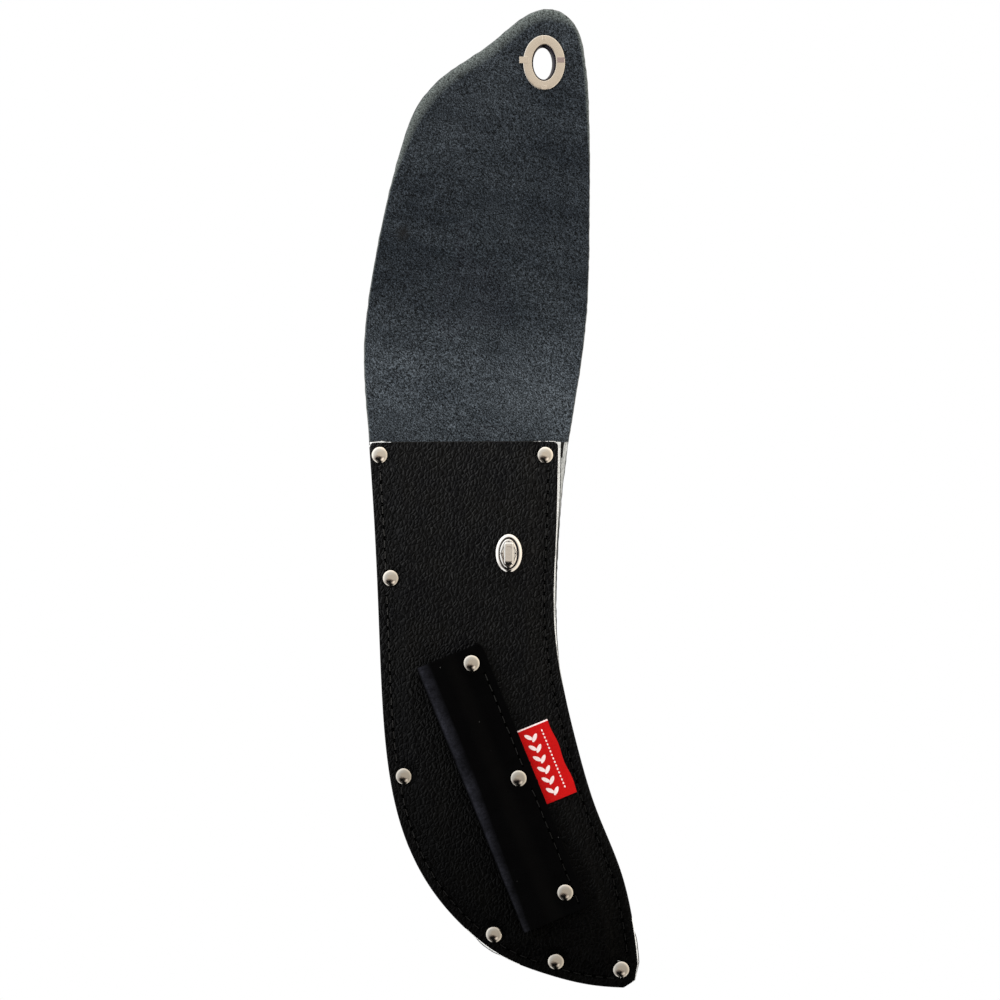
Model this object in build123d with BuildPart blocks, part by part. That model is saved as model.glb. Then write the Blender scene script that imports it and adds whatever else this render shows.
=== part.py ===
from build123d import *
from math import atan2, cos, degrees, hypot, radians, sin
import os

# Leather belt sheath for a hori hori digging knife: one long piece of hide makes the back panel and the
# flap, a bulged front panel is sewn and riveted to it over a welt, and a turn button on the front panel
# locks the flap through an eyelet. A folded leather sleeve on the front holds a sharpener, and a loop on
# the back takes the belt.
#
# Millimetres. X to the right, Z up, and the front faces -Y, as the sheath hangs on a belt. The origin is
# the middle of the belt slot, between the back panel and the belt loop. "Depth" is the distance in front
# of the origin, towards -Y.

# ---- Hide thicknesses and the stack of layers -------------------------------------------------------
BACK_HIDE = 2.8
WELT_HIDE = 3.0
FRONT_HIDE = 2.2
SLEEVE_HIDE = 1.6
BELT_HIDE = 2.4

BACK = 3.0                          # depth of the back panel's outer face
SUEDE = BACK + BACK_HIDE            # the back panel's inner, suede face
WELT = SUEDE + WELT_HIDE            # the welt's front face
FLANGE = WELT + FRONT_HIDE          # the front panel's sewn edge
BULGE = 4.0                         # how far the front panel rises over the pocket
PANEL = FLANGE + BULGE              # the front panel's raised face
CEILING = PANEL - FRONT_HIDE        # the inside of that raised face

# ---- Outline of the hide, as points of x and z ------------------------------------------------------
MOUTH = 40.2                        # height of the front panel's top edge
TIP = (41.0, 252.6)
FLAP_LEFT = [TIP, (25.3, 246), (12, 235), (-12.3, 218), (-23.2, 205), (-31.1, 185), (-38.4, 157),
             (-45.7, 120), (-49.1, 92), (-49.2, 72), (-46.8, MOUTH)]
BODY_LEFT = [(-46.8, MOUTH), (-44.4, 4), (-42.1, -45), (-40.1, -90), (-36.9, -122), (-30.4, -150),
             (-16.8, -178), (0.3, -198), (20, -212.6), (38, -219.8), (62, -225.8), (78, -227.1)]
CORNER = (83.6, -223.5)             # the clipped corner at the bottom right
BODY_RIGHT = [(84.6, -215.5), (82.6, -198), (76.2, -170), (64.3, -140), (53.9, -105)]
BACK_RIGHT = [(47.1, -72), (45.3, -45), (46.3, -11), (50.2, 33), (57.5, 80), (60.6, 112), (61.5, 155),
              (61.1, 205), (58.7, 231), (52.4, 247), TIP]
WELT_RIGHT = [(47.0, -73), (44.7, -45), (45.4, -8), (47.9, MOUTH)]
FRONT_RIGHT = [(47.0, -74), (44.2, -53), (43.6, -37), (44.7, -6), (45.8, MOUTH)]
DOWN_AT_MOUTH = (0.07, -1)          # directions of the outline where its stretches meet
ALONG_BOTTOM = (1, -0.03)
UP_FROM_CORNER = (-0.05, 1)
UP_AT_WAIST = (-0.25, 0.97)

# ---- Pocket -----------------------------------------------------------------------------------------
WELT_WIDTH = 11.0
RISE_START = 11.5                   # from the edge of the hide to the foot of the bulge
RISE_RUN = 3.5                      # width of the slope that climbs to the raised face
WALL_SHIFT = 1.2                    # how far the slope's inner side is moved in
ABOVE_MOUTH = 62.0                  # the pocket is drawn up to here and trimmed at the mouth
MOUTH_ROUND = 2.5
SUNK = 1.0                          # how far the bulge is let into the flat layer, to join it

# ---- Turn button, eyelet and the fold between them --------------------------------------------------
BUTTON = (21.7, -14.3)
EYELET = (39.0, 226.1)
STRIP = 7.75                        # width of each of the fold's two middle strips
FOLD_GAP = 0.6                      # from a hinge line to the hide on each side

EYELET_OUTER = (10.3, 13.5)         # half width and half height of the ovals
EYELET_TUBE = (5.85, 8.8)
EYELET_OPENING = (5.2, 8.2)
EYELET_FLANGE = 0.9
WASHER_THICK = 0.8
WASHER_OPENING = (5.95, 8.9)
TAB_THICK = 0.5
TAB_WIDTH = 3.0
TAB_REACH = 2.2
TAB_FROM_TUBE = 1.7                 # from the tube to a tab

BASE_OVAL = (6.6, 9.55)
BASE_HEIGHT = 1.7
BOSS_OVAL = (4.8, 7.3)
BOSS_HEIGHT = 3.0
BOSS_ROUND = 0.4
PRONG = (0.8, 2.4)
PRONG_PLACE = (4.1, 5.0)
PRONG_FOOT = 2.0
PLATE_OVAL = (6.2, 9.0)
PLATE_THICK = 0.8
KNOB_FROM = 6.9                     # the knob's underside, above the raised face
KNOB_BAR = (12.0, 5.0)
KNOB_THICK = 3.4
KNOB_FLARE = 4.3
FLARE_THICK = 1.4
POST_RADIUS = 2.0
POST_HOLE = 2.5                     # in the front panel
RUNNING = 0.05
HEAD_RADIUS = 3.1
HEAD_THICK = 0.6

# ---- Rivets -----------------------------------------------------------------------------------------
BODY_RIVETS = [(-41.4, 33.8), (39.4, 33.8), (-36, -26.5), (-29.6, -123.5), (14.5, -200.9),
               (44.8, -214.1), (76.7, -218.1)]
CAP_RADIUS = 4.0
CAP_RIM = 0.45
DOME = 1.6
FLAT_DOME = 0.8
BARREL_RADIUS = 1.6
BARREL_BORE = 1.1
PIN_RADIUS = 1.05
HOLE_RADIUS = 1.7

# ---- Sharpener sleeve -------------------------------------------------------------------------------
SLEEVE_TOP = (8.1, -57.8)           # its top right corner
SLEEVE_TILT = 22.2
SLEEVE_LENGTH = 139.6
SLEEVE_WIDTH = 34.3
SLEEVE_HEIGHT = 8.2
SEAM_WIDTH = 13.0
SHOULDER = 5.5                      # run of the curve between the seam and the tube
SLEEVE_RIVETS = [7.8, 68.6, 128.9]  # distance from the top end
SLEEVE_RIVET_IN = 8.2               # distance from the right edge
LABEL_SPAN = (47.0, 85.6)           # along the sleeve
LABEL_OUT = 16.0
LABEL_TUCK = 6.0
LABEL_THICK = 0.5

# ---- Belt loop --------------------------------------------------------------------------------------
BELT_SLOT = 3.0                     # half the gap that the belt passes through
BELT_WIDTH = 38.0
BELT_FLAT = 26.0                    # half height of the loop's flat middle
BELT_FOOT_FROM = 30.5
BELT_FOOT_TO = 41.5
BELT_BEND = 3.0
BELT_RIVETS = [(x, z) for x in (-11, 11) for z in (35.5, -35.5)]
BELT_CAP = 3.5

# ---- Stitching --------------------------------------------------------------------------------------
SEAM_IN = 4.5                       # from the edge of the hide to the stitches
STITCH_PITCH = 5.5
STITCH = (4.2, 0.9)
THREAD_THICK = 0.5


def level(depth):
    """A sketch plane square to the front, at this depth."""
    return Plane.XZ.offset(depth)


def inset(edge, distance):
    """An edge's points moved square to it, to its left as it runs, which is inward."""
    moved = []
    for i, (x, z) in enumerate(edge):
        x0, z0 = edge[max(i - 1, 0)]
        x1, z1 = edge[min(i + 1, len(edge) - 1)]
        run = hypot(x1 - x0, z1 - z0)
        moved.append((x - distance * (z1 - z0) / run, z + distance * (x1 - x0) / run))
    return moved


def oval(depth, centre, size):
    """An ellipse from its centre and its half width and half height."""
    with BuildSketch(level(depth)) as shape:
        with Locations(centre):
            Ellipse(*size)
    return shape.sketch


def discs(depth, points, radius):
    """Round spots at these points."""
    with BuildSketch(level(depth)) as shape:
        with Locations(*points):
            Circle(radius)
    return shape.sketch


def holes(points, radius, low, high):
    """Round holes through the layers between two depths."""
    extrude(discs(low, points, radius), amount=high - low, mode=Mode.SUBTRACT)


def body_edge():
    """The edge that every layer shares: down the left, round the bottom and up to the waist."""
    Spline(*BODY_LEFT, tangents=(DOWN_AT_MOUTH, ALONG_BOTTOM))
    Polyline(BODY_LEFT[-1], CORNER, BODY_RIGHT[0])
    Spline(*BODY_RIGHT, tangents=(UP_FROM_CORNER, UP_AT_WAIST))


def hide_outline(depth):
    """The whole hide of the back panel and flap."""
    with BuildSketch(level(depth)) as shape:
        with BuildLine():
            Spline(*FLAP_LEFT, tangents=((-1, 0), DOWN_AT_MOUTH))
            body_edge()
            Spline(BODY_RIGHT[-1], *BACK_RIGHT, tangents=(UP_AT_WAIST, (-1, 0)))
        make_face()
    return shape.sketch


def layer_outline(depth, right):
    """A layer of the body up to the mouth, with its own upper right edge."""
    with BuildSketch(level(depth)) as shape:
        with BuildLine():
            body_edge()
            Spline(BODY_RIGHT[-1], *right, tangents=(UP_AT_WAIST, (0.02, 1)))
            Line(right[-1], BODY_LEFT[0])
        make_face()
    return shape.sketch


def pocket_outline(depth, distance):
    """The pocket, this far in from the hide's edge, drawn on past the mouth."""
    edge = [(-47.6, ABOVE_MOUTH), *BODY_LEFT[:-1], *BODY_RIGHT[1:], *FRONT_RIGHT, (46.2, ABOVE_MOUTH)]
    points = inset(edge, distance)
    with BuildSketch(level(depth)) as shape:
        with BuildLine():
            Spline(*points)
            Line(points[-1], points[0])
        make_face()
    return shape.sketch


def raised(foot_depth, foot_inset, top_depth, top_inset):
    """The bulge over the pocket as a solid, from its foot to its flat top."""
    return loft([pocket_outline(foot_depth, foot_inset), pocket_outline(top_depth, top_inset)],
                ruled=True, mode=Mode.PRIVATE)


def finish(part, name):
    """Labels a finished piece and writes it out."""
    part.label = name
    export_step(part, f"parts/{name}.step")


os.makedirs("parts", exist_ok=True)

# ---- Fold: four bands of the one hide, hinged on three lines ----------------------------------------
across = EYELET[0] - BUTTON[0]
upward = EYELET[1] - BUTTON[1]
fold_span = hypot(across, upward)
fold_up = Vector(across / fold_span, 0, upward / fold_span)
fold_middle = Vector((EYELET[0] + BUTTON[0]) / 2, 0, (EYELET[1] + BUTTON[1]) / 2)


def fold_plane(distance):
    """A plane across the hide, this far above the fold's middle line."""
    return Plane(origin=fold_middle + fold_up * distance, z_dir=fold_up)


def band(low, high):
    """The hide between two distances from the fold's middle; None leaves an end untrimmed."""
    extrude(hide_outline(BACK), amount=BACK_HIDE)
    if low is not None:
        split(bisect_by=fold_plane(low), keep=Keep.TOP)
    if high is not None:
        split(bisect_by=fold_plane(high), keep=Keep.BOTTOM)


def sleeve_point(across, along):
    """A point on the sleeve, from its right edge and its top end."""
    tilt = radians(SLEEVE_TILT)
    return (SLEEVE_TOP[0] - across * cos(tilt) + along * sin(tilt),
            SLEEVE_TOP[1] - across * sin(tilt) - along * cos(tilt))


def sleeve_plane(depth):
    """Across the sleeve's bottom end: local x runs left, local y to the front, and z up the sleeve."""
    x, z = sleeve_point(0, SLEEVE_LENGTH)
    tilt = radians(SLEEVE_TILT)
    return Plane(origin=(x, -depth, z), x_dir=(-cos(tilt), 0, -sin(tilt)), z_dir=(-sin(tilt), 0, cos(tilt)))


sleeve_rivets = [sleeve_point(SLEEVE_RIVET_IN, along) for along in SLEEVE_RIVETS]
seam_depth = PANEL + 2 * SLEEVE_HIDE
belt_foot = BACK - BELT_HIDE
tab_spots = [(EYELET_TUBE[0] + TAB_FROM_TUBE, 0, 0), (0, EYELET_TUBE[1] + TAB_FROM_TUBE, 90),
             (-EYELET_TUBE[0] - TAB_FROM_TUBE, 0, 180), (0, -EYELET_TUBE[1] - TAB_FROM_TUBE, 270)]
prong_spots = [(i * PRONG_PLACE[0], j * PRONG_PLACE[1]) for i in (-1, 1) for j in (-1, 1)]


def around(centre, spots):
    """Spots moved to stand around a centre."""
    return [(centre[0] + x, centre[1] + z) for x, z in spots]


def eyelet_tabs(depth, width, thick):
    """The sections of the eyelet's four tabs, or of the slots that they pass through."""
    with BuildSketch(level(depth)) as shape:
        for x, z, turn in tab_spots:
            with Locations((EYELET[0] + x, EYELET[1] + z)):
                Rectangle(thick, width, rotation=turn)
    return shape.sketch


def prongs(depth):
    """The sections of the turn button's four prongs, or of their slots."""
    with BuildSketch(level(depth)) as shape:
        with Locations(*around(BUTTON, prong_spots)):
            Rectangle(*PRONG)
    return shape.sketch


with BuildPart() as back_panel:
    band(None, -STRIP - FOLD_GAP)
    holes(BODY_RIVETS, HOLE_RADIUS, BACK, SUEDE)
    holes(BELT_RIVETS, HOLE_RADIUS, BACK, SUEDE)
finish(back_panel.part, "back_panel")

with BuildPart() as fold_strip_1:
    band(-STRIP + FOLD_GAP, -FOLD_GAP)
finish(fold_strip_1.part, "fold_strip_1")

with BuildPart() as fold_strip_2:
    band(FOLD_GAP, STRIP - FOLD_GAP)
finish(fold_strip_2.part, "fold_strip_2")

with BuildPart() as flap:
    band(STRIP + FOLD_GAP, None)
    extrude(oval(BACK, EYELET, EYELET_TUBE), amount=BACK_HIDE, mode=Mode.SUBTRACT)
    extrude(eyelet_tabs(BACK, TAB_WIDTH, TAB_THICK), amount=BACK_HIDE, mode=Mode.SUBTRACT)
finish(flap.part, "flap")

# ---- Body: welt and bulged front panel --------------------------------------------------------------
with BuildPart() as welt:
    extrude(layer_outline(SUEDE, WELT_RIGHT), amount=WELT_HIDE)
    extrude(pocket_outline(SUEDE, WELT_WIDTH), amount=WELT_HIDE, mode=Mode.SUBTRACT)
    holes(BODY_RIVETS, HOLE_RADIUS, SUEDE, WELT)
finish(welt.part, "welt")

with BuildPart() as front_panel:
    extrude(layer_outline(WELT, FRONT_RIGHT), amount=FRONT_HIDE)
    mouth_corners = front_panel.edges().filter_by(Axis.Y).group_by(Axis.Z)[-1]
    fillet(mouth_corners, MOUTH_ROUND)
    add(raised(FLANGE - SUNK, RISE_START - SUNK * RISE_RUN / BULGE, PANEL, RISE_START + RISE_RUN))
    add(raised(WELT, RISE_START + WALL_SHIFT, CEILING, RISE_START + WALL_SHIFT + RISE_RUN),
        mode=Mode.SUBTRACT)
    split(bisect_by=Plane.XY.offset(MOUTH), keep=Keep.BOTTOM)
    holes(BODY_RIVETS, HOLE_RADIUS, WELT, FLANGE)
    holes(sleeve_rivets, HOLE_RADIUS, CEILING, PANEL)
    holes([BUTTON], POST_HOLE, CEILING, PANEL)
    extrude(prongs(CEILING), amount=FRONT_HIDE, mode=Mode.SUBTRACT)
finish(front_panel.part, "front_panel")

# ---- Eyelet and its washer, in the flap -------------------------------------------------------------
with BuildPart() as eyelet:
    extrude(oval(BACK - EYELET_FLANGE, EYELET, EYELET_OUTER), amount=EYELET_FLANGE)
    fillet(eyelet.faces().filter_by(Axis.Y).sort_by(Axis.Y)[-1].edges(), EYELET_FLANGE * 0.8)
    extrude(oval(BACK, EYELET, EYELET_TUBE), amount=BACK_HIDE + WASHER_THICK)
    extrude(eyelet_tabs(BACK, TAB_WIDTH - 0.2, TAB_THICK - 0.1), amount=BACK_HIDE + WASHER_THICK)
    with BuildSketch(level(SUEDE + WASHER_THICK)):
        for x, z, turn in tab_spots:
            outward = 1 + (TAB_REACH - TAB_THICK + 0.1) / 2 / hypot(x, z)
            with Locations((EYELET[0] + x * outward, EYELET[1] + z * outward)):
                Rectangle(TAB_REACH, TAB_WIDTH - 0.2, rotation=turn)
    extrude(amount=TAB_THICK)
    extrude(oval(BACK - EYELET_FLANGE, EYELET, EYELET_OPENING),
            amount=EYELET_FLANGE + BACK_HIDE + WASHER_THICK, mode=Mode.SUBTRACT)
finish(eyelet.part, "eyelet")

with BuildPart() as eyelet_washer:
    extrude(oval(SUEDE, EYELET, EYELET_OUTER), amount=WASHER_THICK)
    extrude(oval(SUEDE, EYELET, WASHER_OPENING), amount=WASHER_THICK, mode=Mode.SUBTRACT)
    extrude(eyelet_tabs(SUEDE, TAB_WIDTH, TAB_THICK), amount=WASHER_THICK, mode=Mode.SUBTRACT)
finish(eyelet_washer.part, "eyelet_washer")

# ---- Turn button: base, backing plate and the knob that turns ---------------------------------------
with BuildPart() as turn_button_base:
    extrude(oval(PANEL, BUTTON, BASE_OVAL), amount=BASE_HEIGHT)
    fillet(turn_button_base.faces().filter_by(Axis.Y).sort_by(Axis.Y)[0].edges(), BASE_HEIGHT / 2)
    extrude(oval(PANEL, BUTTON, BOSS_OVAL), amount=BOSS_HEIGHT)
    fillet(turn_button_base.faces().filter_by(Axis.Y).sort_by(Axis.Y)[0].edges(), BOSS_ROUND)
    extrude(prongs(PANEL), amount=-FRONT_HIDE - PLATE_THICK)
    with BuildSketch(level(CEILING - PLATE_THICK)):
        for x, z in prong_spots:
            outward = PRONG_FOOT / 2 if x > 0 else -PRONG_FOOT / 2
            with Locations((BUTTON[0] + x + outward, BUTTON[1] + z)):
                Rectangle(PRONG_FOOT + PRONG[0], PRONG[1])
    extrude(amount=-TAB_THICK)
    holes([BUTTON], POST_RADIUS + RUNNING, PANEL, PANEL + BOSS_HEIGHT)
finish(turn_button_base.part, "turn_button_base")

with BuildPart() as turn_button_backplate:
    extrude(oval(CEILING, BUTTON, PLATE_OVAL), amount=-PLATE_THICK)
    extrude(prongs(CEILING), amount=-PLATE_THICK, mode=Mode.SUBTRACT)
    holes([BUTTON], POST_RADIUS + 0.3, CEILING - PLATE_THICK, CEILING)
finish(turn_button_backplate.part, "turn_button_backplate")

head_depth = CEILING - PLATE_THICK - 0.2
with BuildPart() as turn_button_knob:
    extrude(discs(head_depth, [BUTTON], HEAD_RADIUS), amount=-HEAD_THICK)
    with BuildSketch(level(PANEL + KNOB_FROM)):
        with Locations(BUTTON):
            SlotOverall(*KNOB_BAR, rotation=90)
    extrude(amount=KNOB_THICK)
    fillet(turn_button_knob.faces().filter_by(Axis.Y).sort_by(Axis.Y)[0].edges(), KNOB_THICK * 0.45)
    with BuildSketch(level(PANEL + KNOB_FROM)):
        with Locations(BUTTON):
            RegularPolygon(KNOB_FLARE, 4)
    extrude(amount=FLARE_THICK)
    extrude(discs(head_depth, [BUTTON], POST_RADIUS), amount=PANEL + KNOB_FROM - head_depth)
finish(turn_button_knob.part, "turn_button_knob")

# ---- Sharpener sleeve and the woven label under its seam --------------------------------------------
label_plane = sleeve_plane(PANEL).offset(SLEEVE_LENGTH - LABEL_SPAN[1])
with BuildPart() as label:
    with BuildSketch(label_plane):
        with Locations(((LABEL_TUCK - LABEL_OUT) / 2, LABEL_THICK / 2)):
            Rectangle(LABEL_TUCK + LABEL_OUT, LABEL_THICK)
    extrude(amount=LABEL_SPAN[1] - LABEL_SPAN[0])
finish(label.part, "label")


def sleeve_section(within):
    """The sleeve's outer section, or its bore when drawn one hide thickness within."""
    left = SLEEVE_WIDTH - within
    low, high = within, SLEEVE_HEIGHT - within
    bend = left - (high - low) / 2
    seam_end = SEAM_WIDTH + within
    with BuildSketch(sleeve_plane(PANEL)) as shape:
        with BuildLine():
            if within == 0:
                Polyline((bend, low), (0, low), (0, 2 * SLEEVE_HIDE), (seam_end, 2 * SLEEVE_HIDE))
                shoulder_foot = (seam_end, 2 * SLEEVE_HIDE)
            else:
                Line((bend, low), (seam_end, low))
                shoulder_foot = (seam_end, low)
            Spline(shoulder_foot, (seam_end + SHOULDER, high), tangents=((1, 0), (1, 0)))
            Line((seam_end + SHOULDER, high), (bend, high))
            ThreePointArc((bend, high), (left, (high + low) / 2), (bend, low))
        make_face()
    return shape.sketch


with BuildPart() as sharpener_sleeve:
    extrude(sleeve_section(0), amount=SLEEVE_LENGTH)
    extrude(sleeve_section(SLEEVE_HIDE), amount=SLEEVE_LENGTH, mode=Mode.SUBTRACT)
    holes(sleeve_rivets, HOLE_RADIUS, PANEL, seam_depth)
    with BuildSketch(label_plane):
        with Locations((LABEL_TUCK / 2, LABEL_THICK / 2)):
            Rectangle(LABEL_TUCK, LABEL_THICK)
    extrude(amount=LABEL_SPAN[1] - LABEL_SPAN[0], mode=Mode.SUBTRACT)
finish(sharpener_sleeve.part, "sharpener_sleeve")

# ---- Belt loop --------------------------------------------------------------------------------------
foot_line = -BACK + BELT_HIDE / 2
belt_line = BELT_SLOT + BELT_HIDE / 2
with BuildPart() as belt_loop:
    with BuildSketch(Plane.YZ.offset(-BELT_WIDTH / 2)):
        with BuildLine():
            FilletPolyline((foot_line, BELT_FOOT_TO), (foot_line, BELT_FOOT_FROM), (belt_line, BELT_FLAT),
                           (belt_line, -BELT_FLAT), (foot_line, -BELT_FOOT_FROM),
                           (foot_line, -BELT_FOOT_TO), radius=BELT_BEND)
        trace(line_width=BELT_HIDE)
    extrude(amount=BELT_WIDTH)
    holes(BELT_RIVETS, HOLE_RADIUS, belt_foot, BACK)
finish(belt_loop.part, "belt_loop")


# ---- Double-cap rivets: a cap with a barrel at the front, a cap with a pin at the back --------------
def dome(x, z, depth, radius, height, forward):
    """A domed cap on its seat at this depth; forward is 1 for a cap that faces the front, else -1."""
    with BuildSketch(Plane(origin=(x, -depth, z), x_dir=(1, 0, 0), z_dir=(0, 0, -forward))) as half:
        with BuildLine():
            Polyline((0, height), (0, 0), (radius, 0), (radius, CAP_RIM))
            Spline((radius, CAP_RIM), (radius * 0.6, height * 0.86), (0, height),
                   tangents=((-0.3, 1), (-1, 0)))
        make_face()
    revolve(half.sketch, axis=Axis((x, 0, z), (0, 1, 0)))


def rivet(name, x, z, back, front, radius, back_dome, front_dome):
    """A rivet through the layers between two depths, written as its two pieces."""
    with BuildPart() as cap:
        dome(x, z, front, radius, front_dome, 1)
        extrude(discs(front, [(x, z)], BARREL_RADIUS), amount=back + 0.2 - front)
        holes([(x, z)], BARREL_BORE, back, front)
    finish(cap.part, f"{name}_cap")
    with BuildPart() as pin:
        dome(x, z, back, radius, back_dome, -1)
        extrude(discs(back, [(x, z)], PIN_RADIUS), amount=front - back - 0.3)
    finish(pin.part, f"{name}_pin")


for number, (x, z) in enumerate(BODY_RIVETS, 1):
    rivet(f"body_rivet_{number}", x, z, BACK, FLANGE, CAP_RADIUS, DOME, DOME)
for number, (x, z) in enumerate(sleeve_rivets, 1):
    rivet(f"sleeve_rivet_{number}", x, z, CEILING, seam_depth, CAP_RADIUS, FLAT_DOME, DOME)
for number, (x, z) in enumerate(BELT_RIVETS, 1):
    rivet(f"belt_rivet_{number}", x, z, belt_foot, SUEDE, BELT_CAP, DOME, FLAT_DOME)


# ---- Stitching: a needle thread on the front and a bobbin thread on the back ------------------------
def stitches(path, clear_of, depth, forward):
    """Straight stitches along a path, laid on the hide at this depth, leaving out those under rivets."""
    count = round(path.length / STITCH_PITCH)
    with BuildSketch(level(depth)) as dashes:
        for i in range(count):
            along = (i + 0.5) / count
            spot, way = path.position_at(along), path.tangent_at(along)
            if all(hypot(spot.X - x, spot.Z - z) > CAP_RADIUS + STITCH[0] * 0.55 for x, z in clear_of):
                with Locations((spot.X, spot.Z)):
                    Rectangle(*STITCH, rotation=degrees(atan2(way.Z, way.X)))
    extrude(dashes.sketch, amount=THREAD_THICK * forward)


seam_points = inset([*BODY_LEFT[:-1], *BODY_RIGHT[1:], *FRONT_RIGHT], SEAM_IN)
with BuildLine(Plane.XZ) as body_seam:
    Spline(*seam_points)
with BuildPart() as body_needle_thread:
    stitches(body_seam.wire(), BODY_RIVETS, FLANGE, 1)
finish(body_needle_thread.part, "body_needle_thread")
with BuildPart() as body_bobbin_thread:
    stitches(body_seam.wire(), BODY_RIVETS, BACK, -1)
finish(body_bobbin_thread.part, "body_bobbin_thread")

with BuildLine(Plane.XZ) as sleeve_seam:
    Line(sleeve_point(4, 3), sleeve_point(4, SLEEVE_LENGTH - 3))
with BuildPart() as sleeve_thread:
    stitches(sleeve_seam.wire(), sleeve_rivets, seam_depth, 1)
finish(sleeve_thread.part, "sleeve_thread")
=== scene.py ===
"""Looks of the leather belt sheath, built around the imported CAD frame.

Lengths are millimetres and points are (x, depth, z), where depth is the distance in front of the belt
slot, as in the CAD source. add_mesh() turns them into the row frame's metres: (x, -depth, z) / 1000.
"""

import math

import bpy
import bmesh
import numpy as np
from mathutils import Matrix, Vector


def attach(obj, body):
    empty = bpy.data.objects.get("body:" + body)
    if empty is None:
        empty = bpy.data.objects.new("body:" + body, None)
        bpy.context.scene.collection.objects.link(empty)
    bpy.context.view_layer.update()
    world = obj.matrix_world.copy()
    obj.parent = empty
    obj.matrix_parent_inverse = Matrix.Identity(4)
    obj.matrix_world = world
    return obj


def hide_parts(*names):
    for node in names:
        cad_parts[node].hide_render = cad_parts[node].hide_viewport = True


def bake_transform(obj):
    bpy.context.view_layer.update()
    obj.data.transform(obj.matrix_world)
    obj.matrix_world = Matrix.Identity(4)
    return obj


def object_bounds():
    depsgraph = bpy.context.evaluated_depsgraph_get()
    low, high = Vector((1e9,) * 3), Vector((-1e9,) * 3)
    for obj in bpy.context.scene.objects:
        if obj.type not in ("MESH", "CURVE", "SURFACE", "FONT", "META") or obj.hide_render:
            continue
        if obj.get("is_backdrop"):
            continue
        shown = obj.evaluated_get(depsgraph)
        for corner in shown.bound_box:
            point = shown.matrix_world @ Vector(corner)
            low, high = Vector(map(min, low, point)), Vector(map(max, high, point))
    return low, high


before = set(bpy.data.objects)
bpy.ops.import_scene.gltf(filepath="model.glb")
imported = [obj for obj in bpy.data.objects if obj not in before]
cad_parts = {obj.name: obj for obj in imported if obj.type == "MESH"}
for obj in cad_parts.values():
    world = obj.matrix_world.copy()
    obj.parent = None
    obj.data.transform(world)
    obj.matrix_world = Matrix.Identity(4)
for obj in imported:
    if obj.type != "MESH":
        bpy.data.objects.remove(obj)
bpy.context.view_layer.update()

MM = 0.001

# ---- Design values repeated from the CAD source -----------------------------------------------------
BACK_HIDE, WELT_HIDE, FRONT_HIDE, SLEEVE_HIDE, BELT_HIDE = 2.8, 3.0, 2.2, 1.6, 2.4
BACK, SUEDE, WELT, FLANGE, PANEL, CEILING = 3.0, 5.8, 8.8, 11.0, 15.0, 12.8
MOUTH = 40.2
MOUTH_ROUND = 2.5
TIP = (41.0, 252.6)
FLAP_LEFT = [TIP, (25.3, 246), (12, 235), (-12.3, 218), (-23.2, 205), (-31.1, 185), (-38.4, 157),
             (-45.7, 120), (-49.1, 92), (-49.2, 72), (-46.8, MOUTH)]
BODY_LEFT = [(-46.8, MOUTH), (-44.4, 4), (-42.1, -45), (-40.1, -90), (-36.9, -122), (-30.4, -150),
             (-16.8, -178), (0.3, -198), (20, -212.6), (38, -219.8), (62, -225.8), (78, -227.1)]
CORNER = (83.6, -223.5)
BODY_RIGHT = [(84.6, -215.5), (82.6, -198), (76.2, -170), (64.3, -140), (53.9, -105)]
BACK_RIGHT = [(47.1, -72), (45.3, -45), (46.3, -11), (50.2, 33), (57.5, 80), (60.6, 112), (61.5, 155),
              (61.1, 205), (58.7, 231), (52.4, 247), TIP]
WELT_RIGHT = [(47.0, -73), (44.7, -45), (45.4, -8), (47.9, MOUTH)]
FRONT_RIGHT = [(47.0, -74), (44.2, -53), (43.6, -37), (44.7, -6), (45.8, MOUTH)]
DOWN_AT_MOUTH, ALONG_BOTTOM = (0.07, -1), (1, -0.03)
UP_FROM_CORNER, UP_AT_WAIST = (-0.05, 1), (-0.25, 0.97)
BUTTON, EYELET = (21.7, -14.3), (39.0, 226.1)
STRIP = 7.75
WELT_WIDTH = 11.0
BODY_RIVETS = [(-41.4, 33.8), (39.4, 33.8), (-36, -26.5), (-29.6, -123.5), (14.5, -200.9),
               (44.8, -214.1), (76.7, -218.1)]
CAP_RADIUS, DOME, FLAT_DOME = 4.0, 1.6, 0.8
SLEEVE_TOP, SLEEVE_TILT, SLEEVE_LENGTH, SLEEVE_WIDTH = (8.1, -57.8), math.radians(22.2), 139.6, 34.3
SLEEVE_HEIGHT = 8.2
SLEEVE_RIVETS, SLEEVE_RIVET_IN = (7.8, 68.6, 128.9), 8.2
LABEL_SPAN, LABEL_OUT, LABEL_TUCK = (47.0, 85.6), 16.0, 6.0
BELT_WIDTH, BELT_CAP = 38.0, 3.5
BELT_RIVETS = [(x, z) for x in (-11, 11) for z in (35.5, -35.5)]
SEAM_IN, STITCH_PITCH = 4.5, 5.5
TILT_COS, TILT_SIN = math.cos(SLEEVE_TILT), math.sin(SLEEVE_TILT)

# ---- Values of this model alone ---------------------------------------------------------------------
HIDE_RIM, WELT_RIM, FRONT_RIM = 0.45, 0.35, 0.3  # how far the rounded edges stand out
PARED_WIDTH, WIDER_BELOW = 2.4, 1.6  # the pared strip beside the pocket, and its extra width lower down
PARED_END = -80
EYELET_HOLE = (7.0, 10.0)
STITCH_LENGTH, THREAD_RADIUS = 5.3, 0.24


# ---- Curves in the plane of the sheath --------------------------------------------------------------
def travelled(curve):
    """Distance along a polyline at each of its points."""
    return np.concatenate([[0], np.cumsum(np.linalg.norm(np.diff(curve, axis=0), axis=1))])


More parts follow.
